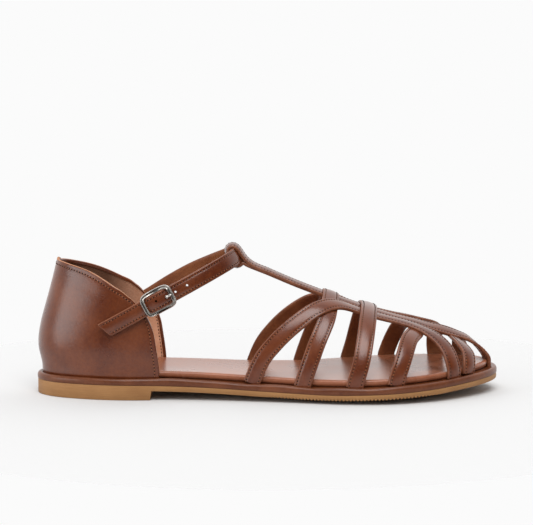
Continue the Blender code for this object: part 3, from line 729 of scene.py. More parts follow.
rib_lines = []
for number in range(int((RIB_END_X - RIB_START_X) / RIB_PITCH)):
    rib_angle = angle_at(RIB_START_X + RIB_PITCH * (number + 0.5))
    outer, inner = (outline(rib_angle, side, tread_margin - RIB_INSET) for side in (-1, 1))
    rib_line = []
    for step in range(RIB_POINTS + 1):
        spot = outer.lerp(inner, step / RIB_POINTS)
        height = tread_underside(spot.x, 2 * step / RIB_POINTS - 1) + RIB_HEIGHT - rib_depth(spot.x)
        rib_line.append((spot.x, spot.y, height + HAIR))
    rib_lines.append(rib_line)
ribs = lines_piece("outsole_ribs", rib_lines)
grow(ribs, rib_tree, {"Bar radius": RIB_BAR_RADIUS * MM, "Material": RUBBER})
settle(ribs, "outsole_rubber")

# %% [markdown]
# The midsole is a firm board in a strip of leather, and the burnished strip is rounded over at its top, where
# it catches a long thin highlight. The strip was pulled round by hand, so its top line waves a little near
# the heel breast and by the straps. The waves are placed from the photograph.

# %% Midsole
MIDSOLE_SPLITS = 8
GROOVE_DEPTH = 0.9
GROOVE_INSET = 0.6
BOARD_INSET = 1.3
Wave = namedtuple("Wave", "x rise reach")
WELT_WAVES = table(
    Wave,
    (-82.0, -0.25, 12.0), (-52.0, 0.40, 11.0), (-14.0, -0.35, 10.0), (6.0, 0.35, 8.0),
    (24.0, -0.30, 7.0), (38.0, 0.32, 7.0), (54.0, -0.28, 7.0), (72.0, 0.25, 7.0),
)
# Rows of the rounded edges: how far in from the rim, and how far above the underside or below the top.
UNDERSIDE_ROWS = ((4.0, 0.0), (0.5, 0.0), (0.15, 0.12), (0.0, 0.45))
WELT_ROWS = (
    (0.0, 1.7), (0.1, 1.1), (0.4, 0.55), (0.85, 0.2), (1.5, 0.0), (2.3, 0.15), (3.0, 0.5), (3.6, GROOVE_DEPTH)
)


def welt_wave(x):
    return sum(wave.rise * exp(-(((x - wave.x) / wave.reach) ** 2)) for wave in WELT_WAVES)


def welt_row(inset, below_top):
    return Rim(SOLE_MARGIN - inset, lambda x, share: midsole_top(x) + welt_wave(x) - below_top)


def underside_row(inset, above):
    return Rim(SOLE_MARGIN - inset, lambda x, share: midsole_underside(x) + above)


midsole_rim = [underside_row(*row) for row in UNDERSIDE_ROWS] + [welt_row(*row) for row in WELT_ROWS]
midsole_rim.append(Rim(-GROOVE_INSET, lambda x, share: midsole_top(x) - GROOVE_DEPTH))
midsole_rim.append(Rim(-BOARD_INSET, lambda x, share: midsole_top(x)))
settle(plate("midsole_leather", even_angles, midsole_rim, MIDSOLE_SPLITS, WELT), "midsole_leather", "midsole")

# %% [markdown]
# The insole is a thin padded footbed, wrapped in a paler leather. Its edge is rounded, and its top is a
# shallow dish, where a foot has to sit.

# %% Insole
INSOLE_SPLITS = 20
DISH_DEPTH = 0.7
DISH_INSET = 1.9
INSOLE_FOOT_ROWS = ((2.0, 0.0), (1.1, 0.1), (0.45, 0.45), (0.08, 1.1))
FOOTBED_ROWS = ((0.0, 1.3), (0.12, 0.8), (0.45, 0.35), (1.0, 0.08))


def footbed(x, share):
    return insole_top(x) - DISH_DEPTH * (1 - share * share)


def footbed_row(inset, below_top):
    return Rim(-inset, lambda x, share: insole_top(x) - below_top)


def insole_foot_row(inset, above):
    return Rim(-inset, lambda x, share: midsole_top(x) + above)


insole_rim = [insole_foot_row(*row) for row in INSOLE_FOOT_ROWS] + [footbed_row(*row) for row in FOOTBED_ROWS]
insole_rim.append(Rim(-DISH_INSET, footbed))
settle(plate("insole_leather", even_angles, insole_rim, INSOLE_SPLITS, FOOTBED), "insole_leather", "insole")

# %% [markdown]
# The heel counter is the closed back of the upper: calf leather outside and a pale lining inside. Its
# form is a rule: the insole's outline, leaned and drawn in by height, up to a top line that falls towards
# the front. Two functions give the wall and the direction square to it, so that everything on it is
# placed by a share of the way round and a height.

# %% Form of the heel counter
COUNTER_WALL = 1.9
COUNTER_FRONT_X = -58.6
COUNTER_INNER_FRONT_X = -57.7
COUNTER_LEAN_SHARPNESS = 5
BACK_TUCK_RISE = 0.7
BACK_TUCK_SHARE = 0.03
SHARE_STEP = 0.01
HEIGHT_STEP = 0.5

Profile = namedtuple("Profile", "height back_x front_x spread")
COUNTER_PROFILE = table(
    Profile,
    (-8.0, -0.6, 0.0, 1.0), (0.0, -0.6, 0.0, 1.0), (12.0, -2.7, -1.4, 1.015), (24.0, -1.1, -3.8, 1.0),
    (31.0, 0.8, -7.1, 0.985), (40.0, 3.4, -12.5, 0.96), (60.0, 8.6, -18.0, 0.87),
)
TopLine = namedtuple("TopLine", "share outer inner")
COUNTER_TOP = table(
    TopLine,
    (0.0, 58.2, 58.2), (0.3, 56.6, 56.3), (0.56, 52.8, 52.2), (0.77, 46.0, 46.2), (0.9, 40.8, 41.9),
    (0.97, 36.0, 37.2), (1.0, 30.5, 31.5),
)
front_angle = angle_at(COUNTER_FRONT_X)
inner_front_angle = angle_at(COUNTER_INNER_FRONT_X)
COUNTER_REACH = INSOLE_LENGTH / 2 * sin(front_angle) * front_angle


def counter_top(share):
    tuck = BACK_TUCK_RISE * exp(-((share / BACK_TUCK_SHARE) ** 2))
    return smooth(COUNTER_TOP, "inner" if share > 0 else "outer", abs(share)) + tuck


def beside(share):
    """The shares a small step ahead and behind, not past the front edges."""
    return min(share + SHARE_STEP, 1.0), max(share - SHARE_STEP, -1.0)


def below_top(share, distance):
    """Height at a distance from the sloping top line, measured square to it."""
    ahead, behind = beside(share)
    rise = (counter_top(ahead) - counter_top(behind)) / ((ahead - behind) * COUNTER_REACH)
    return counter_top(share) - distance * hypot(1.0, rise)


def counter_wall(share, height):
    """Point of the lining; a share is negative on the outer side, 0 at the back and 1 at the front edge."""
    front = inner_front_angle if share > 0 else front_angle
    foot = outline(front * abs(share), copysign(1.0, share), GAP)
    lean = abs(share) ** COUNTER_LEAN_SHARPNESS
    back_x, front_x, spread = (smooth(COUNTER_PROFILE, column, height) for column in Profile._fields[1:])
    middle = centre(0.0)
    x = foot.x + back_x * (1 - lean) + front_x * lean
    return Vector((x, middle + (foot.y - middle) * spread, insole_top(foot.x) + height))


def counter_out(share, height):
    """Direction square to the wall, away from the foot."""
    ahead, behind = beside(share)
    along = counter_wall(ahead, height) - counter_wall(behind, height)
    up = counter_wall(share, height + HEIGHT_STEP) - counter_wall(share, height - HEIGHT_STEP)
    return up.cross(along).normalized()


print("counter:", round(2 * COUNTER_REACH), "mm round the heel")

# %% [markdown]
# One ring for each station runs up the lining, over the edge and down the outside, and the rings lie closer
# at the front edges. The calf is turned over the edge and sewn down inside, so the lining starts a little
# lower and lies deeper, and only the crest of the fold is a paler brown. A shallow furrow, where the seam
# pulls the leather in, follows the edge all the way round, and the main creases are placed from the
# photograph.

# %% Heel counter
COUNTER_FOOT = -4.7
COUNTER_TUCK_HEIGHT = 2.2
COUNTER_TUCK_DEPTH = 0.8
COUNTER_STEPS = 44
COUNTER_ROWS = 40
SEAM_INSET = 2.4
SEAM_DEPTH = 0.16
SEAM_HALF_WIDTH = 0.45
EDGE_DISTANCES = (0.0, 0.3, 0.7, 1.2, 1.6, 2.0, 2.4, 2.8, 3.4, 5.0)
TURNED_STEPS = 4
LINING_RECESS = 0.4
FRONT_PINCH = 0.25
CREST_SHARES = (0.25, 0.75)

Crease = namedtuple("Crease", "share reach below_top depth half_width")
COUNTER_CREASES = table(
    Crease, (-0.30, 0.14, 8.0, 0.30, 1.3), (-0.24, 0.10, 11.5, 0.18, 1.4), (-0.62, 0.16, 9.5, 0.14, 1.6)
)


def seam_furrow(from_edge):
    return -SEAM_DEPTH * exp(-(((from_edge - SEAM_INSET) / SEAM_HALF_WIDTH) ** 2))


def counter_crease(share, height):
    """How far the leather sinks where it was drawn over the last."""
    depth = 0.0
    for crease in COUNTER_CREASES:
        along = (share - crease.share) / crease.reach
        across = (counter_top(share) - height - crease.below_top) / crease.half_width
        depth += crease.depth * exp(-along * along - across * across)
    return depth


def counter_ring(share):
    """One ring of the wall, from the lining's foot over the crest to the outside's foot."""
    from_front = (1 - abs(share)) * COUNTER_REACH
    pinch = FRONT_PINCH if from_front < EDGE_DISTANCES[1] else 0.0
    rows = [(distance, below_top(share, distance)) for distance in EDGE_DISTANCES[1:]]
    start = rows[-1][1]
    down = [start + (COUNTER_FOOT - start) * i / COUNTER_ROWS for i in range(1, COUNTER_ROWS + 1)]
    rows += [(EDGE_DISTANCES[-1], height) for height in down]
    inner, outer = [], []
    for from_top, height in rows:
        wall, out = counter_wall(share, height), counter_out(share, height)
        from_edge = min(from_top, from_front)
        recess = 0.0 if from_edge <= EDGE_DISTANCES[TURNED_STEPS] else LINING_RECESS
        inner.append(wall + (COUNTER_WALL * pinch + recess) * out)
        from_foot = max(1 - (height - COUNTER_FOOT) / COUNTER_TUCK_HEIGHT, 0.0)
        tucked_in = COUNTER_TUCK_DEPTH * from_foot * from_foot
        thick = COUNTER_WALL * (1 - pinch) + seam_furrow(from_edge)
        outer.append(wall + (thick - tucked_in - counter_crease(share, height)) * out)
    crest, out = counter_wall(share, counter_top(share)), counter_out(share, counter_top(share))
    rim = [crest + COUNTER_WALL * (pinch + (1 - 2 * pinch) * step) * out for step in CREST_SHARES]
    return inner[::-1] + rim + outer


half_shares = [1 - distance / COUNTER_REACH for distance in EDGE_DISTANCES]
half_shares += [half_shares[-1] * (1 - i / COUNTER_STEPS) for i in range(1, COUNTER_STEPS)]
counter_shares = [-share for share in half_shares] + [0.0] + half_shares[::-1]
counter_rings = [counter_ring(share) for share in counter_shares]
wall_rows = len(EDGE_DISTANCES) - 1 + COUNTER_ROWS
counter_zones = [UNDERNEATH] * (wall_rows - TURNED_STEPS) + [TOP] * TURNED_STEPS
counter_zones += [CUT_EDGE] * 2 + [TOP] * (wall_rows - 1) + [CUT_EDGE]
counter = strip("heel_counter_leather", counter_rings, counter_zones, COUNTER_MATERIALS)
steps = len(counter_rings) - 1
for step in (*range(TURNED_STEPS), *range(steps - TURNED_STEPS, steps)):
    for side in range(wall_rows - 1):
        counter.data.polygons[step * len(counter_zones) + side].material_index = TOP
settle(counter, "counter_leather", "heel_counter")

# %% [markdown]
# Every strap is two layers, calf over lining, sewn near both edges. Between the seams the leather is a
# little crowned, and at each seam it dips. A route on the last is a short table: how far along the foot,
# how far round it from the top line in degrees, and how far the strap is lifted where it passes over
# another one. The routes of the solid cage are nearly the same; here the straps lie a little closer to
# the photograph.

# %% Routes of the straps
STRAP_OVER = 1.75
Fold = namedtuple("Fold", "share turn lift")
OUTER_LONG_STRAP = table(
    Fold,
    (0.458, 97.0, 0.0), (0.492, 79.0, 0.0), (0.514, 71.0, 0.0), (0.566, 52.0, 0.3), (0.606, 37.0, STRAP_OVER),
    (0.648, 24.0, STRAP_OVER), (0.700, 16.0, -0.4), (0.745, 14.5, -1.1), (0.785, 15.5, -0.6),
    (0.818, 19.5, 0.2), (0.853, 28.0, 0.8), (0.896, 57.0, 0.0), (0.907, 83.0, 0.0), (0.9085, 97.0, 0.0),
)
INNER_LONG_STRAP = table(
    Fold,
    (0.460, 97.0, 0.0), (0.493, 79.0, 0.0), (0.514, 71.0, 0.0), (0.565, 52.0, 0.3), (0.606, 37.0, 1.5),
    (0.648, 24.0, STRAP_OVER), (0.700, 16.0, -0.3), (0.745, 14.5, -0.35), (0.785, 15.5, 0.15),
    (0.820, 19.0, 1.2), (0.857, 23.5, 1.9), (0.880, 34.0, 1.8), (0.889, 53.0, 0.6),
    (0.891, 78.0, 0.0), (0.894, 97.0, 0.0),
)
# The other straps cross the foot; each half route runs from the edge of the insole to the top line.
INSTEP_STRAP = table(
    Fold,
    (0.572, 97.0, 0.0), (0.604, 68.0, 0.0), (0.630, 40.0, 0.0), (0.636, 21.0, 0.2), (0.638, 0.0, STRAP_OVER),
)
WAIST_STRAP = table(
    Fold,
    (0.686, 97.0, 0.0), (0.703, 75.0, 0.0), (0.713, 52.0, 0.0), (0.720, 28.0, 1.2), (0.725, 0.0, 1.35),
)
BALL_STRAP = table(
    Fold,
    (0.775, 97.0, 0.0), (0.797, 66.0, 0.0), (0.810, 46.0, 0.0), (0.829, 28.0, -1.0), (0.838, 0.0, -2.4),
)
TOE_STRAP = table(
    Fold,
    (0.943, 97.0, 0.0), (0.9455, 78.0, 0.0), (0.9455, 60.0, -0.2), (0.938, 35.0, -1.3), (0.933, 15.0, -2.4),
    (0.932, 0.0, -2.8),
)


def to_outer_side(route):
    return [Fold(fold.share, -fold.turn, fold.lift) for fold in route]


def across_foot(half):
    """A route from the outer edge over the top line to the inner edge, the same on both sides."""
    return to_outer_side(half) + half[-2::-1]


print("strap over strap:", STRAP_OVER, "mm")

# %% [markdown]
# One section serves every strap, as points across it and up from its underside. It is carried along a
# route: at each station a small function places a point of the section, and the same function gives the
# two seam lines that the stitches follow later.

# %% Section of a strap
STRAP_WIDTH = 9.2
STRAP_THICKNESS = 1.95
STITCH_INSET = 1.45
SEAM_LEVEL = 0.33
EDGE_ROUND = 0.35
CROWN = 0.12
# From the edge towards the crown: how far in, and how far below the strap's thickness.
STRAP_SHOULDER = (
    (0.0, 0.75), (0.12, 0.45), (0.45, 0.26), (1.0, 0.18), (STITCH_INSET, 0.36), (1.95, 0.12), (2.9, -0.02)
)


def strap_section(width, thickness):
    """Section of a sewn strap as points across and up, and the zone of the side after each point."""
    half = width / 2
    right = [(half - EDGE_ROUND, 0.0), (half, EDGE_ROUND)]
    right += [(half - inset, thickness - below) for inset, below in STRAP_SHOULDER]
    left = [(-across, up) for across, up in reversed(right)]
    points = right + [(0.0, thickness + CROWN)] + left + [(-half / 2, 0.0), (0.0, 0.0), (half / 2, 0.0)]
    # Round the section: edge paint, calf from edge to edge, edge paint again, and the lining below.
    zones = [CUT_EDGE] * 4 + [TOP] * 10 + [CUT_EDGE] * 4 + [UNDERNEATH] * 4
    return points, zones


def around(rows, number):
    return rows[max(number - 1, 0)], rows[min(number + 1, len(rows) - 1)]


def carry(section, station, count, width, thickness):
    """Rings of a section at every station, and its two seam lines, a stitch inset from the edges."""
    stations = [station(number) for number in range(count)]
    rings = [[spot(across, up) for across, up in section] for spot in stations]
    seam_across = width / 2 - STITCH_INSET
    seams = [[spot(side * seam_across, thickness - SEAM_LEVEL) for spot in stations] for side in (-1, 1)]
    return rings, seams


SECTION, SECTION_ZONES = strap_section(STRAP_WIDTH, STRAP_THICKNESS)
print("section of a strap:", len(SECTION), "points")

# %% Straps over the forefoot
STRAP_PIECE_LENGTH = 1.2
STRAP_END_TURN = 94.8
cage_seams = []


def strap(name, route):
    """A strap on the last, from one edge of the insole to another; it also notes its two seams."""
    places = [last(swing(fold.share), fold.turn) for fold in route]
    rows = [(swing(fold.share), fold.turn, fold.lift) for fold in route]
    readings = smooth_path(rows, places, STRAP_PIECE_LENGTH)
    readings = [reading for reading in readings if abs(reading[1]) <= STRAP_END_TURN]

    def station(number):
        angle, turn, lift = readings[number]
        by_angle = (last(angle + ANGLE_STEP, turn) - last(angle - ANGLE_STEP, turn)) / (2 * ANGLE_STEP)
        by_turn = (last(angle, turn + TURN_STEP) - last(angle, turn - TURN_STEP)) / (2 * TURN_STEP)
        out = by_angle.cross(by_turn).normalized()
        before, after = around(readings, number)
        sideways = out.cross(last(*after[:2]) - last(*before[:2])).normalized()
        aa, at, tt = by_angle.dot(by_angle), by_angle.dot(by_turn), by_turn.dot(by_turn)
        area = aa * tt - at * at

        def spot(across, up):
            a, t = across * sideways.dot(by_angle), across * sideways.dot(by_turn)
            base = last(angle + (a * tt - t * at) / area, turn + (t * aa - a * at) / area)
            return base + (lift + up) * out

        return spot

    rings, seams = carry(SECTION, station, len(readings), STRAP_WIDTH, STRAP_THICKNESS)
    cage_seams.extend(seams)
    return strip(name, rings, SECTION_ZONES, STRAP_MATERIALS)


cage_straps = [
    strap("long_strap_outer", to_outer_side(OUTER_LONG_STRAP)),
    strap("long_strap_inner", INNER_LONG_STRAP),
    strap("instep_strap", across_foot(INSTEP_STRAP)),
    strap("waist_strap", across_foot(WAIST_STRAP)),
    strap("ball_strap", across_foot(BALL_STRAP)),
    strap("toe_strap", across_foot(TOE_STRAP)),
]
for piece in cage_straps:
    settle(piece, "strap_leather", "strap_cage")

# %% [markdown]
# The T-bar runs along the top line from the toe to the ankle, under the two upper straps and over the two
# lower ones. At its top it turns back in a loop that holds the ankle strap, and the loop's tail lies
# inside the T-bar's own thickness. Its lie is a table along the top line: a lift, a roll that tips its
# face to the outer side, and a yaw that turns its end at the toe, both in degrees. The loop is drawn
# across the ankle strap.

# %% Route of the T-bar
HOOP_X = -18.4
HOOP_Z = 74.8
HOOP_TILT = radians(28.2)
TBAR_ROLL = 8
LOOP_TAIL_RISES = (0.6, 1.3, 1.4, 1.4)

Lie = namedtuple("Lie", "share lift roll yaw", defaults=(TBAR_ROLL, 0))
TBAR = table(
    Lie,
    (0.457, 0.0), (0.50, 0.0), (0.56, 0.0), (0.62, -0.1), (0.68, -0.4), (0.745, -1.1), (0.785, -1.1),
    (0.81, -0.8, 9), (0.833, -0.4, 11), (0.86, -0.5, 14), (0.885, -0.8, 19), (0.905, -0.9, 20),
    (0.93, -0.5, 15), (0.955, 0.4, 8, 4), (0.975, 0.2, 0, 8), (0.99, 0.1, 0, 14), (1.00, GAP, 0, 16),
)
LoopPoint = namedtuple("LoopPoint", "across along_width roll", defaults=(TBAR_ROLL,))
LOOP = table(
    LoopPoint,
    (2.9, -4.2, -4), (0.8, -4.7, 3), (-0.6, -4.8), (-1.6, -4.2), (-1.95, -2.6), (-1.95, 0.0), (-1.75, 3.5),
    (-0.9, 5.0), (0.6, 5.4), (2.1, 4.6), (3.0, 2.4), (3.3, -1.0), (3.7, -3.7),
)
FOLDED_END = table(LoopPoint, (2.2, 3.4), (2.35, 2.0), (2.45, -1.0), (2.65, -3.0), (2.9, -4.1))


def side_row(x, z, roll):
    return x, centre(angle_at(x)), z, radians(roll), 0.0


def loop_row(point):
    """Row of a point given across the ankle strap's thickness and along its width."""
    x = HOOP_X + point.across * cos(HOOP_TILT) - point.along_width * sin(HOOP_TILT)
    z = HOOP_Z + point.across * sin(HOOP_TILT) + point.along_width * cos(HOOP_TILT)
    return side_row(x, z, point.roll)


def ridge_row(lie):
    angle = swing(lie.share)
    step = last(min(angle + ANGLE_STEP, pi), 0.0) - last(angle - ANGLE_STEP, 0.0)
    out = Vector((-step.z, step.x)).normalized()
    spot = last(angle, 0.0)
    return spot.x + lie.lift * out.x, spot.y, spot.z + lie.lift * out.y, radians(lie.roll), radians(lie.yaw)


ridge_path = [ridge_row(lie) for lie in TBAR]
print("T-bar runs from x", round(ridge_path[0][0], 1), "to", round(ridge_path[-1][0], 1), "mm")

# %% [markdown]
# Seen from the side, tail, loop and T-bar are one smooth path, so one band is carried along it with its
# width across the foot. A thinner, narrower band inside the loop is the folded end of the lining.

# %% T-bar and its loop
TBAR_THICKNESS = 2.0
TBAR_PIECE_LENGTH = 0.9
TOE_TUCK = 4.4
FOLD_WIDTH = 7.0
FOLD_THICKNESS = 0.9


def side_band(name, path, width, thickness):
    """A band along rows of place, roll and yaw, and its seams; its width lies across the foot."""
    readings = smooth_path(path, [Vector(row[:3]) for row in path], TBAR_PIECE_LENGTH)
    section, zones = strap_section(width, thickness)

    def station(number):
        x, y, z, roll, yaw = readings[number]
        before, after = around(readings, number)
        along = Vector((after[0] - before[0], after[2] - before[2])).normalized()

        def spot(across, up):
            level = up * cos(roll) + across * sin(roll)
            aside = across * cos(roll) - up * sin(roll)
            back = level * along.y + (aside + STRAP_WIDTH / 2) * sin(yaw)
            return Vector((x - back, y + aside * cos(yaw), z + level * along.x))

        return spot

    rings, seams = carry(section, station, len(readings), width, thickness)
    return strip(name, rings, zones, STRAP_MATERIALS), seams


loop_path = [loop_row(point) for point in LOOP]
raised = list(zip(ridge_path, LOOP_TAIL_RISES))
tail_path = [side_row(row[0], row[2] + rise, -TBAR_ROLL) for row, rise in reversed(raised)]
toe_x, toe_y, toe_z, toe_roll, toe_yaw = ridge_path[-1]
tucked = [(toe_x, toe_y, toe_z - TOE_TUCK * share, toe_roll, toe_yaw) for share in (0.5, 1.0)]
tbar_path = tail_path + loop_path + ridge_path + tucked
tbar, tbar_seams = side_band("t_bar", tbar_path, STRAP_WIDTH, TBAR_THICKNESS)
cage_seams.extend(tbar_seams)
settle(tbar, "strap_leather", "strap_cage")
fold_path = [loop_row(point) for point in FOLDED_END] + [ridge_path[1]]
folded_end, _ = side_band("t_bar_folded_end", fold_path, FOLD_WIDTH, FOLD_THICKNESS)
settle(folded_end, "strap_leather", "strap_cage")

# %% [markdown]
# The ankle strap lies in a plane that slopes up to the loop. Its route is a short table in that plane,
# from the free tip, past the buckle, round the instep and back to the inner side of the heel. The tip is
# cut at a slant, and a short bevel closes it.

# %% Ankle strap
HOOP_WIDTH = 8.9
HOOP_DROP = 0.2
HOOP_PIECE_LENGTH = 0.9
HOOP_TIP_SLANT = 0.4
HOOP_TIP_LENGTH = 12.0
ANKLE_THICKNESS = 1.85
TIP_BEVEL = 0.4
TIP_DRAW = 0.12

HoopPoint = namedtuple("HoopPoint", "along sideways rise")
HOOP = table(
    HoopPoint,
    (-78.0, -27.7, 0.2), (-68.0, -28.2, 0.3), (-62.0, -28.5, 0.4), (-54.1, -28.5, 0.5), (-46.0, -29.5, 0.5),
    (-38.0, -28.5, 0.5), (-26.0, -26.4, 0.5), (-14.0, -21.6, 0.4), (-3.6, -14.0, 0.3), (0.6, -6.0, 0.3),
    (1.2, 0.0, 0.3), (0.6, 6.0, 0.4), (-3.8, 14.0, 0.8), (-14.0, 21.6, 1.5), (-26.0, 25.8, 2.2),
    (-40.0, 27.1, 2.0), (-54.0, 27.3, 1.0), (-68.0, 27.4, 0.4),
)
hoop_seat = Matrix.Translation((HOOP_X, centre(0.0), HOOP_Z)) @ Matrix.Rotation(-HOOP_TILT, 4, "Y")
hoop_readings = smooth_path(HOOP, [Vector(point) for point in HOOP], HOOP_PIECE_LENGTH)


def hoop_station(number):
    along, sideways, rise = hoop_readings[number]
    before, after = around(hoop_readings, number)
    ahead = Vector((after[0] - before[0], after[1] - before[1])).normalized()
    outer_side = number < len(hoop_readings) / 2
    tip = max(1 - (along - hoop_readings[0][0]) / HOOP_TIP_LENGTH, 0.0) if outer_side else 0.0

    def spot(across, up):
        back = along - HOOP_TIP_SLANT * across * tip
        return hoop_seat @ Vector((back + up * ahead.y, sideways - up * ahead.x, rise + across - HOOP_DROP))

    return spot


ankle_section, ankle_zones = strap_section(HOOP_WIDTH, ANKLE_THICKNESS)
ankle_section = [(-across, up) for across, up in ankle_section]
hoop_stations = len(hoop_readings)
ankle_rings, ankle_seams = carry(ankle_section, hoop_station, hoop_stations, HOOP_WIDTH, ANKLE_THICKNESS)
bevel = hoop_seat.to_3x3() @ Vector((-TIP_BEVEL, 0.0, 0.0))
tip_middle = sum(ankle_rings[0], Vector()) / len(ankle_rings[0])
tip_ring = [spot.lerp(tip_middle, TIP_DRAW) + bevel for spot in ankle_rings[0]]
ankle = strip("ankle_strap_leather", [tip_ring] + ankle_rings, ankle_zones, STRAP_MATERIALS, 1)
# One seam runs along the lower edge, turns just short of the tip and comes back along the upper edge.
ankle_seam = ankle_seams[0][:1:-1] + ankle_seams[1][2:]
print("ankle strap:", len(ankle_rings), "stations")

# %% [markdown]
# The strap's holes repeat, so a Geometry Nodes tree punches them: it puts a cylinder on each marked point,
# makes the cylinders real, gives them a nearly black material that paints the shade inside the holes, and
# takes all of them away from the strap with one Mesh Boolean. The marks are points with a diameter each,
# because the prong has stretched the hole it is in.

# %% Punched holes
BAR_ALONG = -46.0
BAR_RISE = 0.5
HOLE_DIAMETER = 1.3
PRONG_HOLE_ALONG = 5.6
PRONG_HOLE_DIAMETER = 1.9
PUNCH_DEPTH = 12.0
PUNCH_SIDES = 24

Hole = namedtuple("Hole", "along rise diameter depth")
HOLES = table(
    Hole,
    (-46.3, 0.7, HOLE_DIAMETER, 1.3),
    (BAR_ALONG + PRONG_HOLE_ALONG, 0.0, PRONG_HOLE_DIAMETER, 3.0),
    (-35.0, 0.0, HOLE_DIAMETER, 3.0),
    (-28.0, 0.1, HOLE_DIAMETER, 3.0),
)
punch_inputs = {"Strap": "Geometry", "Marks": "Object", "Depth": "Float", "Cut edge": "Material"}
punch_tree, punch_in, punch_out = new_tree("punched holes", punch_inputs)
marks = node(punch_tree, "GeometryNodeObjectInfo", {"Object": punch_in["Marks"]}, transform_space="RELATIVE")
wide = node(punch_tree, "GeometryNodeInputNamedAttribute", {"Name": "diameter"}, data_type="FLOAT")
punch_size = {"Vertices": PUNCH_SIDES, "Radius": 0.5, "Depth": punch_in["Depth"]}
placed = {
    "Points": marks.outputs["Geometry"],
    "Instance": node(punch_tree, "GeometryNodeMeshCylinder", punch_size),
    "Rotation": (pi / 2, 0.0, 0.0),
    "Scale": node(punch_tree, "ShaderNodeCombineXYZ", {"X": wide, "Y": wide, "Z": 1.0}),
}
punches = node(punch_tree, "GeometryNodeInstanceOnPoints", placed)
punch_real = node(punch_tree, "GeometryNodeRealizeInstances", {"Geometry": punches})
# painted shade: the cut walls of every hole get the nearly black hole material
dark = {"Geometry": punch_real, "Material": punch_in["Cut edge"]}
taken = {"Mesh 1": punch_in["Strap"], "Mesh 2": node(punch_tree, "GeometryNodeSetMaterial", dark)}
cut = node(punch_tree, "GeometryNodeMeshBoolean", taken, operation="DIFFERENCE", solver="EXACT")
fill(punch_tree, punch_out, {"Geometry": cut})

outer_half = HOOP[: len(HOOP) // 2]
mark_points = []
for hole in HOLES:
    out = smooth(outer_half, "sideways", hole.along) - ANKLE_THICKNESS - PUNCH_DEPTH / 2 + hole.depth
    mark_points.append(hoop_seat @ Vector((hole.along, out, BAR_RISE - HOOP_DROP + hole.rise)))
mark_piece = lines_piece("hole marks", [[point] for point in mark_points])
diameters = mark_piece.data.attributes.new("diameter", "FLOAT", "POINT")
diameters.data.foreach_set("value", [hole.diameter * MM for hole in HOLES])
grow(ankle, punch_tree, {"Marks": mark_piece, "Depth": PUNCH_DEPTH * MM, "Cut edge": HOLE_SHADE})
bpy.data.objects.remove(mark_piece)
settle(ankle, "ankle_strap_leather", "ankle_strap")

# %% [markdown]
# The buckle is a cast frame with a rounded bead on each side of a hollow, bowed so that its ends clear
# the strap. A torus could be bent to it, but the section isn't round, so the section is carried round a
# squarish oval, in a plane that is seated on the strap.

# %% Buckle frame
BAR_LEVEL = 27.2
FRAME_HALF_LENGTH = 7.9
FRAME_HALF_WIDTH = 5.5
FRAME_SQUARENESS = 5.0
FRAME_FORWARD = 0.8
FRAME_MIDDLE_LEVEL = 1.2
FRAME_END_LEVEL = 4.7
FRAME_STEPS = 96
FRAME_SECTION = (
    (1.1, -0.3), (1.15, 0.15), (1.05, 0.55), (0.82, 0.72), (0.58, 0.5), (0.3, 0.22), (-0.3, 0.22),
    (-0.55, 0.42), (-0.78, 0.6), (-0.98, 0.42), (-1.05, 0.05), (-0.9, -0.35), (0.0, -0.5), (0.85, -0.45),
)
bar_seat = hoop_seat @ Matrix.Translation((BAR_ALONG, -BAR_LEVEL, BAR_RISE)) @ Matrix.Rotation(pi / 2, 4, "X")


def squared(half, wave):
    return half * copysign(abs(wave) ** (2 / FRAME_SQUARENESS), wave)


def frame_path(angle):
    along, across = squared(FRAME_HALF_LENGTH, cos(angle)), squared(FRAME_HALF_WIDTH, sin(angle))
    bow = (FRAME_END_LEVEL - FRAME_MIDDLE_LEVEL) * (along / FRAME_HALF_LENGTH) ** 2
    return Vector((along + FRAME_FORWARD, across, FRAME_MIDDLE_LEVEL + bow))


build = bmesh.new()
frame_rings = []
for number in range(FRAME_STEPS):
    angle = 2 * pi * number / FRAME_STEPS
    step = pi / FRAME_STEPS
    point = frame_path(angle)
    along = (frame_path(angle + step) - frame_path(angle - step)).normalized()
    outwards = along.cross(Vector((0.0, 0.0, 1.0))).normalized()
    over = outwards.cross(along)
    ring = [build.verts.new(bar_seat @ (point + side * outwards + up * over)) for side, up in FRAME_SECTION]
    frame_rings.append(ring)
for before, after in zip(frame_rings, frame_rings[1:] + frame_rings[:1]):
    join_rings(build, before, after)
settle(make_piece("buckle_frame_nickel", build, [NICKEL]), "buckle_nickel", "buckle_frame")

# %% [markdown]
# The frame hangs on a plain round centre bar. The prong is a wire that curls round the bar, comes up
# through the strap and rests on the frame's front end, and its tip is drawn in. A curve with a bevel
# would do for both, but rings along the points can be drawn in where the tip is.

# %% Centre bar and prong
BAR_RADIUS = 0.8
PRONG_RADIUS = 0.7
PRONG_CLEARANCE = 0.2
PRONG_CURL = 250
PRONG_CURL_STEP = 10
PRONG_PIECE_LENGTH = 0.5
PRONG_TIP = 1.2
PRONG_TIP_SHARE = 0.45
WIRE_SIDES = 12
SidePoint = namedtuple("SidePoint", "along out")
PRONG = table(SidePoint, (3.2, 0.9), (4.6, 1.6), (5.3, 3.4), (5.9, 5.6), (9.0, 6.6))


def wire(name, rings):
    return strip(name, rings, [TOP] * WIRE_SIDES, [NICKEL])


def prong_ring(points, number):
    """Ring of the prong's wire at one of its points in the side view; it is thinner towards the tip."""
    (x, z), (before, after) = points[number], around(points, number)
    along = Vector((after[0] - before[0], after[1] - before[1])).normalized()
    left = (Vector(points[-1]) - Vector((x, z))).length
    thick = PRONG_RADIUS * min(1.0, PRONG_TIP_SHARE + (1 - PRONG_TIP_SHARE) * left / PRONG_TIP)
    round_wire = circle(thick, WIRE_SIDES)
    return [bar_seat @ Vector((x - up * along.y, across, z + up * along.x)) for up, across in round_wire]


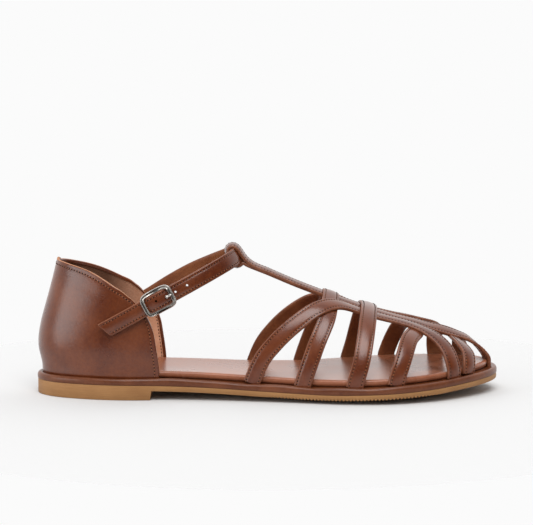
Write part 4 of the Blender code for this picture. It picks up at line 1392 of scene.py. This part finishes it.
bar_rings = []
for across in (-FRAME_HALF_WIDTH, FRAME_HALF_WIDTH):
    bar_rings.append([bar_seat @ Vector((x, across, z)) for x, z in circle(BAR_RADIUS, WIRE_SIDES)])
settle(wire("buckle_bar_nickel", bar_rings), "buckle_nickel", "buckle_frame")

curl = BAR_RADIUS + PRONG_CLEARANCE + PRONG_RADIUS
curl_turns = [radians(turn) for turn in range(PRONG_CURL, 0, -PRONG_CURL_STEP)]
prong_points = [(curl * cos(turn), curl * sin(turn)) for turn in curl_turns]
prong_reach = smooth_path(PRONG, [Vector(point) for point in PRONG], PRONG_PIECE_LENGTH)
prong_points += [tuple(point) for point in prong_reach]
prong_rings = [prong_ring(prong_points, number) for number in range(len(prong_points))]
settle(wire("buckle_prong_nickel", prong_rings), "prong_nickel", "buckle_prong")

# %% [markdown]
# The leather tab that holds the centre bar is almost hidden behind the strap, and its solid has the right
# shape, so it stays and only gets the real leather.

# %% Buckle tab
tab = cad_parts["buckle_tab"]
tab.data.materials.clear()
tab.data.materials.append(CALF)
print("kept solid:", tab.name)

# %% [markdown]
# The seams are lockstitch: short dashes of thread that dip into the leather between two needle holes. There
# are hundreds, so a Geometry Nodes tree makes them. It turns each seam line into a curve, sets a point at
# every stitch, and puts a small drop of thread there, turned along the seam. The same drop, dark and half a
# pitch further on, is painted shade in the needle hole.

# %% Stitch tree
DROP_SEGMENTS = 8
DROP_RINGS = 4
TRIM_START, TRIM_END = 4, 5  # sockets of Trim Curve that take lengths
stitch_inputs = {"Seams": "Geometry", "Thread material": "Material", "Hole material": "Material"}
stitch_inputs.update(dict.fromkeys(("Pitch", "Length", "Thread", "Hole length", "Hole width"), "Float"))
stitch_tree, stitch_in, stitch_out = new_tree("stitch rows", stitch_inputs)
seam_curve = node(stitch_tree, "GeometryNodeMeshToCurve", {"Mesh": stitch_in["Seams"]})
seam_way = node(stitch_tree, "GeometryNodeInputTangent")
facing = node(stitch_tree, "FunctionNodeAlignRotationToVector", {"Vector": seam_way}, axis="X")
half_pitch = node(stitch_tree, "ShaderNodeMath", {0: stitch_in["Pitch"], 1: 0.5}, operation="MULTIPLY")
whole = node(stitch_tree, "GeometryNodeCurveLength", {"Curve": seam_curve})
trimmed = {"Curve": seam_curve, TRIM_START: half_pitch, TRIM_END: whole}
hole_curve = node(stitch_tree, "GeometryNodeTrimCurve", trimmed, mode="LENGTH")
drop_size = {"Segments": DROP_SEGMENTS, "Rings": DROP_RINGS, "Radius": 0.5}
drop = node(stitch_tree, "GeometryNodeMeshUVSphere", drop_size)


def drops_along(curve, length, width, material):
    """Puts a drop of this size and material at every pitch of a curve, turned along it."""
    spaced = {"Curve": curve, "Length": stitch_in["Pitch"]}
    sides = {"X": stitch_in[length], "Y": stitch_in[width], "Z": stitch_in[width]}
    laid = {
        "Points": node(stitch_tree, "GeometryNodeResampleCurve", spaced, mode="LENGTH"),
        "Instance": drop,
        "Rotation": facing,
        "Scale": node(stitch_tree, "ShaderNodeCombineXYZ", sides),
    }
    drops = node(stitch_tree, "GeometryNodeInstanceOnPoints", laid)
    real = node(stitch_tree, "GeometryNodeRealizeInstances", {"Geometry": drops})
    return node(stitch_tree, "GeometryNodeSetMaterial", {"Geometry": real, "Material": stitch_in[material]})


stitch_rows = node(stitch_tree, "GeometryNodeJoinGeometry")
threads = drops_along(seam_curve, "Length", "Thread", "Thread material")
# painted shade: dark drops between the stitches stand for the shade in the needle holes
needle_hole_shades = drops_along(hole_curve, "Hole length", "Hole width", "Hole material")
for drops in (threads, needle_hole_shades):
    fill(stitch_tree, stitch_rows, {"Geometry": drops})
fill(stitch_tree, stitch_out, {"Geometry": stitch_rows})
print("stitch tree:", len(stitch_tree.nodes), "nodes")

# %% [markdown]
# The seam lines of the straps were noted while the straps were made. The counter's seam is found from its
# form: it runs up one front edge, along the top line and down the other, and inside, the turned calf has
# a row of its own by each front edge.

# %% Stitches
STITCH_PITCH = 1.8
STITCH_LENGTH = 1.15
THREAD_WIDTH = 0.45
NEEDLE_HOLE_LENGTH = 0.95
NEEDLE_HOLE_WIDTH = 0.7
SEAM_STEPS = 40
SEAM_FOOT = -2.4
THREAD_PROUD = 0.03
LINING_SEAM_SINK = 0.12
OUTER_SEAM_DEPTH = COUNTER_WALL - SEAM_DEPTH + THREAD_PROUD
LINING_SEAM_DEPTH = LINING_RECESS + LINING_SEAM_SINK


def sew(name, seams, slot):
    """Sews rows of stitches along seam lines."""
    sizes = {"Pitch": STITCH_PITCH, "Length": STITCH_LENGTH, "Thread": THREAD_WIDTH}
    sizes.update({"Hole length": NEEDLE_HOLE_LENGTH, "Hole width": NEEDLE_HOLE_WIDTH})
    values = {label: size * MM for label, size in sizes.items()}
    values.update({"Thread material": THREAD, "Hole material": HOLE_SHADE})
    return settle(grow(lines_piece(name, seams), stitch_tree, values), slot)


def counter_seam(depth):
    """The seam along each front edge and the one between them, at a depth in the counter's wall."""
    seam_share = 1 - SEAM_INSET / COUNTER_REACH

    def on_wall(places):
        return [counter_wall(*place) + depth * counter_out(*place) for place in places]

    fronts = []
    for share in (-seam_share, seam_share):
        climb = below_top(share, SEAM_INSET) - SEAM_FOOT
        heights = [SEAM_FOOT + climb * step / SEAM_STEPS for step in range(SEAM_STEPS + 1)]
        fronts.append(on_wall([(share, height) for height in heights]))
    crest_shares = [seam_share * (step / SEAM_STEPS - 1) for step in range(1, 2 * SEAM_STEPS)]
    return fronts, on_wall([(share, below_top(share, SEAM_INSET)) for share in crest_shares])


sew("cage_stitches", cage_seams, "strap_leather")
sew("ankle_strap_stitches", [ankle_seam], "ankle_strap_leather")
outer_fronts, outer_crest = counter_seam(OUTER_SEAM_DEPTH)
lining_fronts, _ = counter_seam(LINING_SEAM_DEPTH)
counter_seams = [outer_fronts[0] + outer_crest + outer_fronts[1][::-1]] + lining_fronts
sew("counter_stitches", counter_seams, "counter_leather")
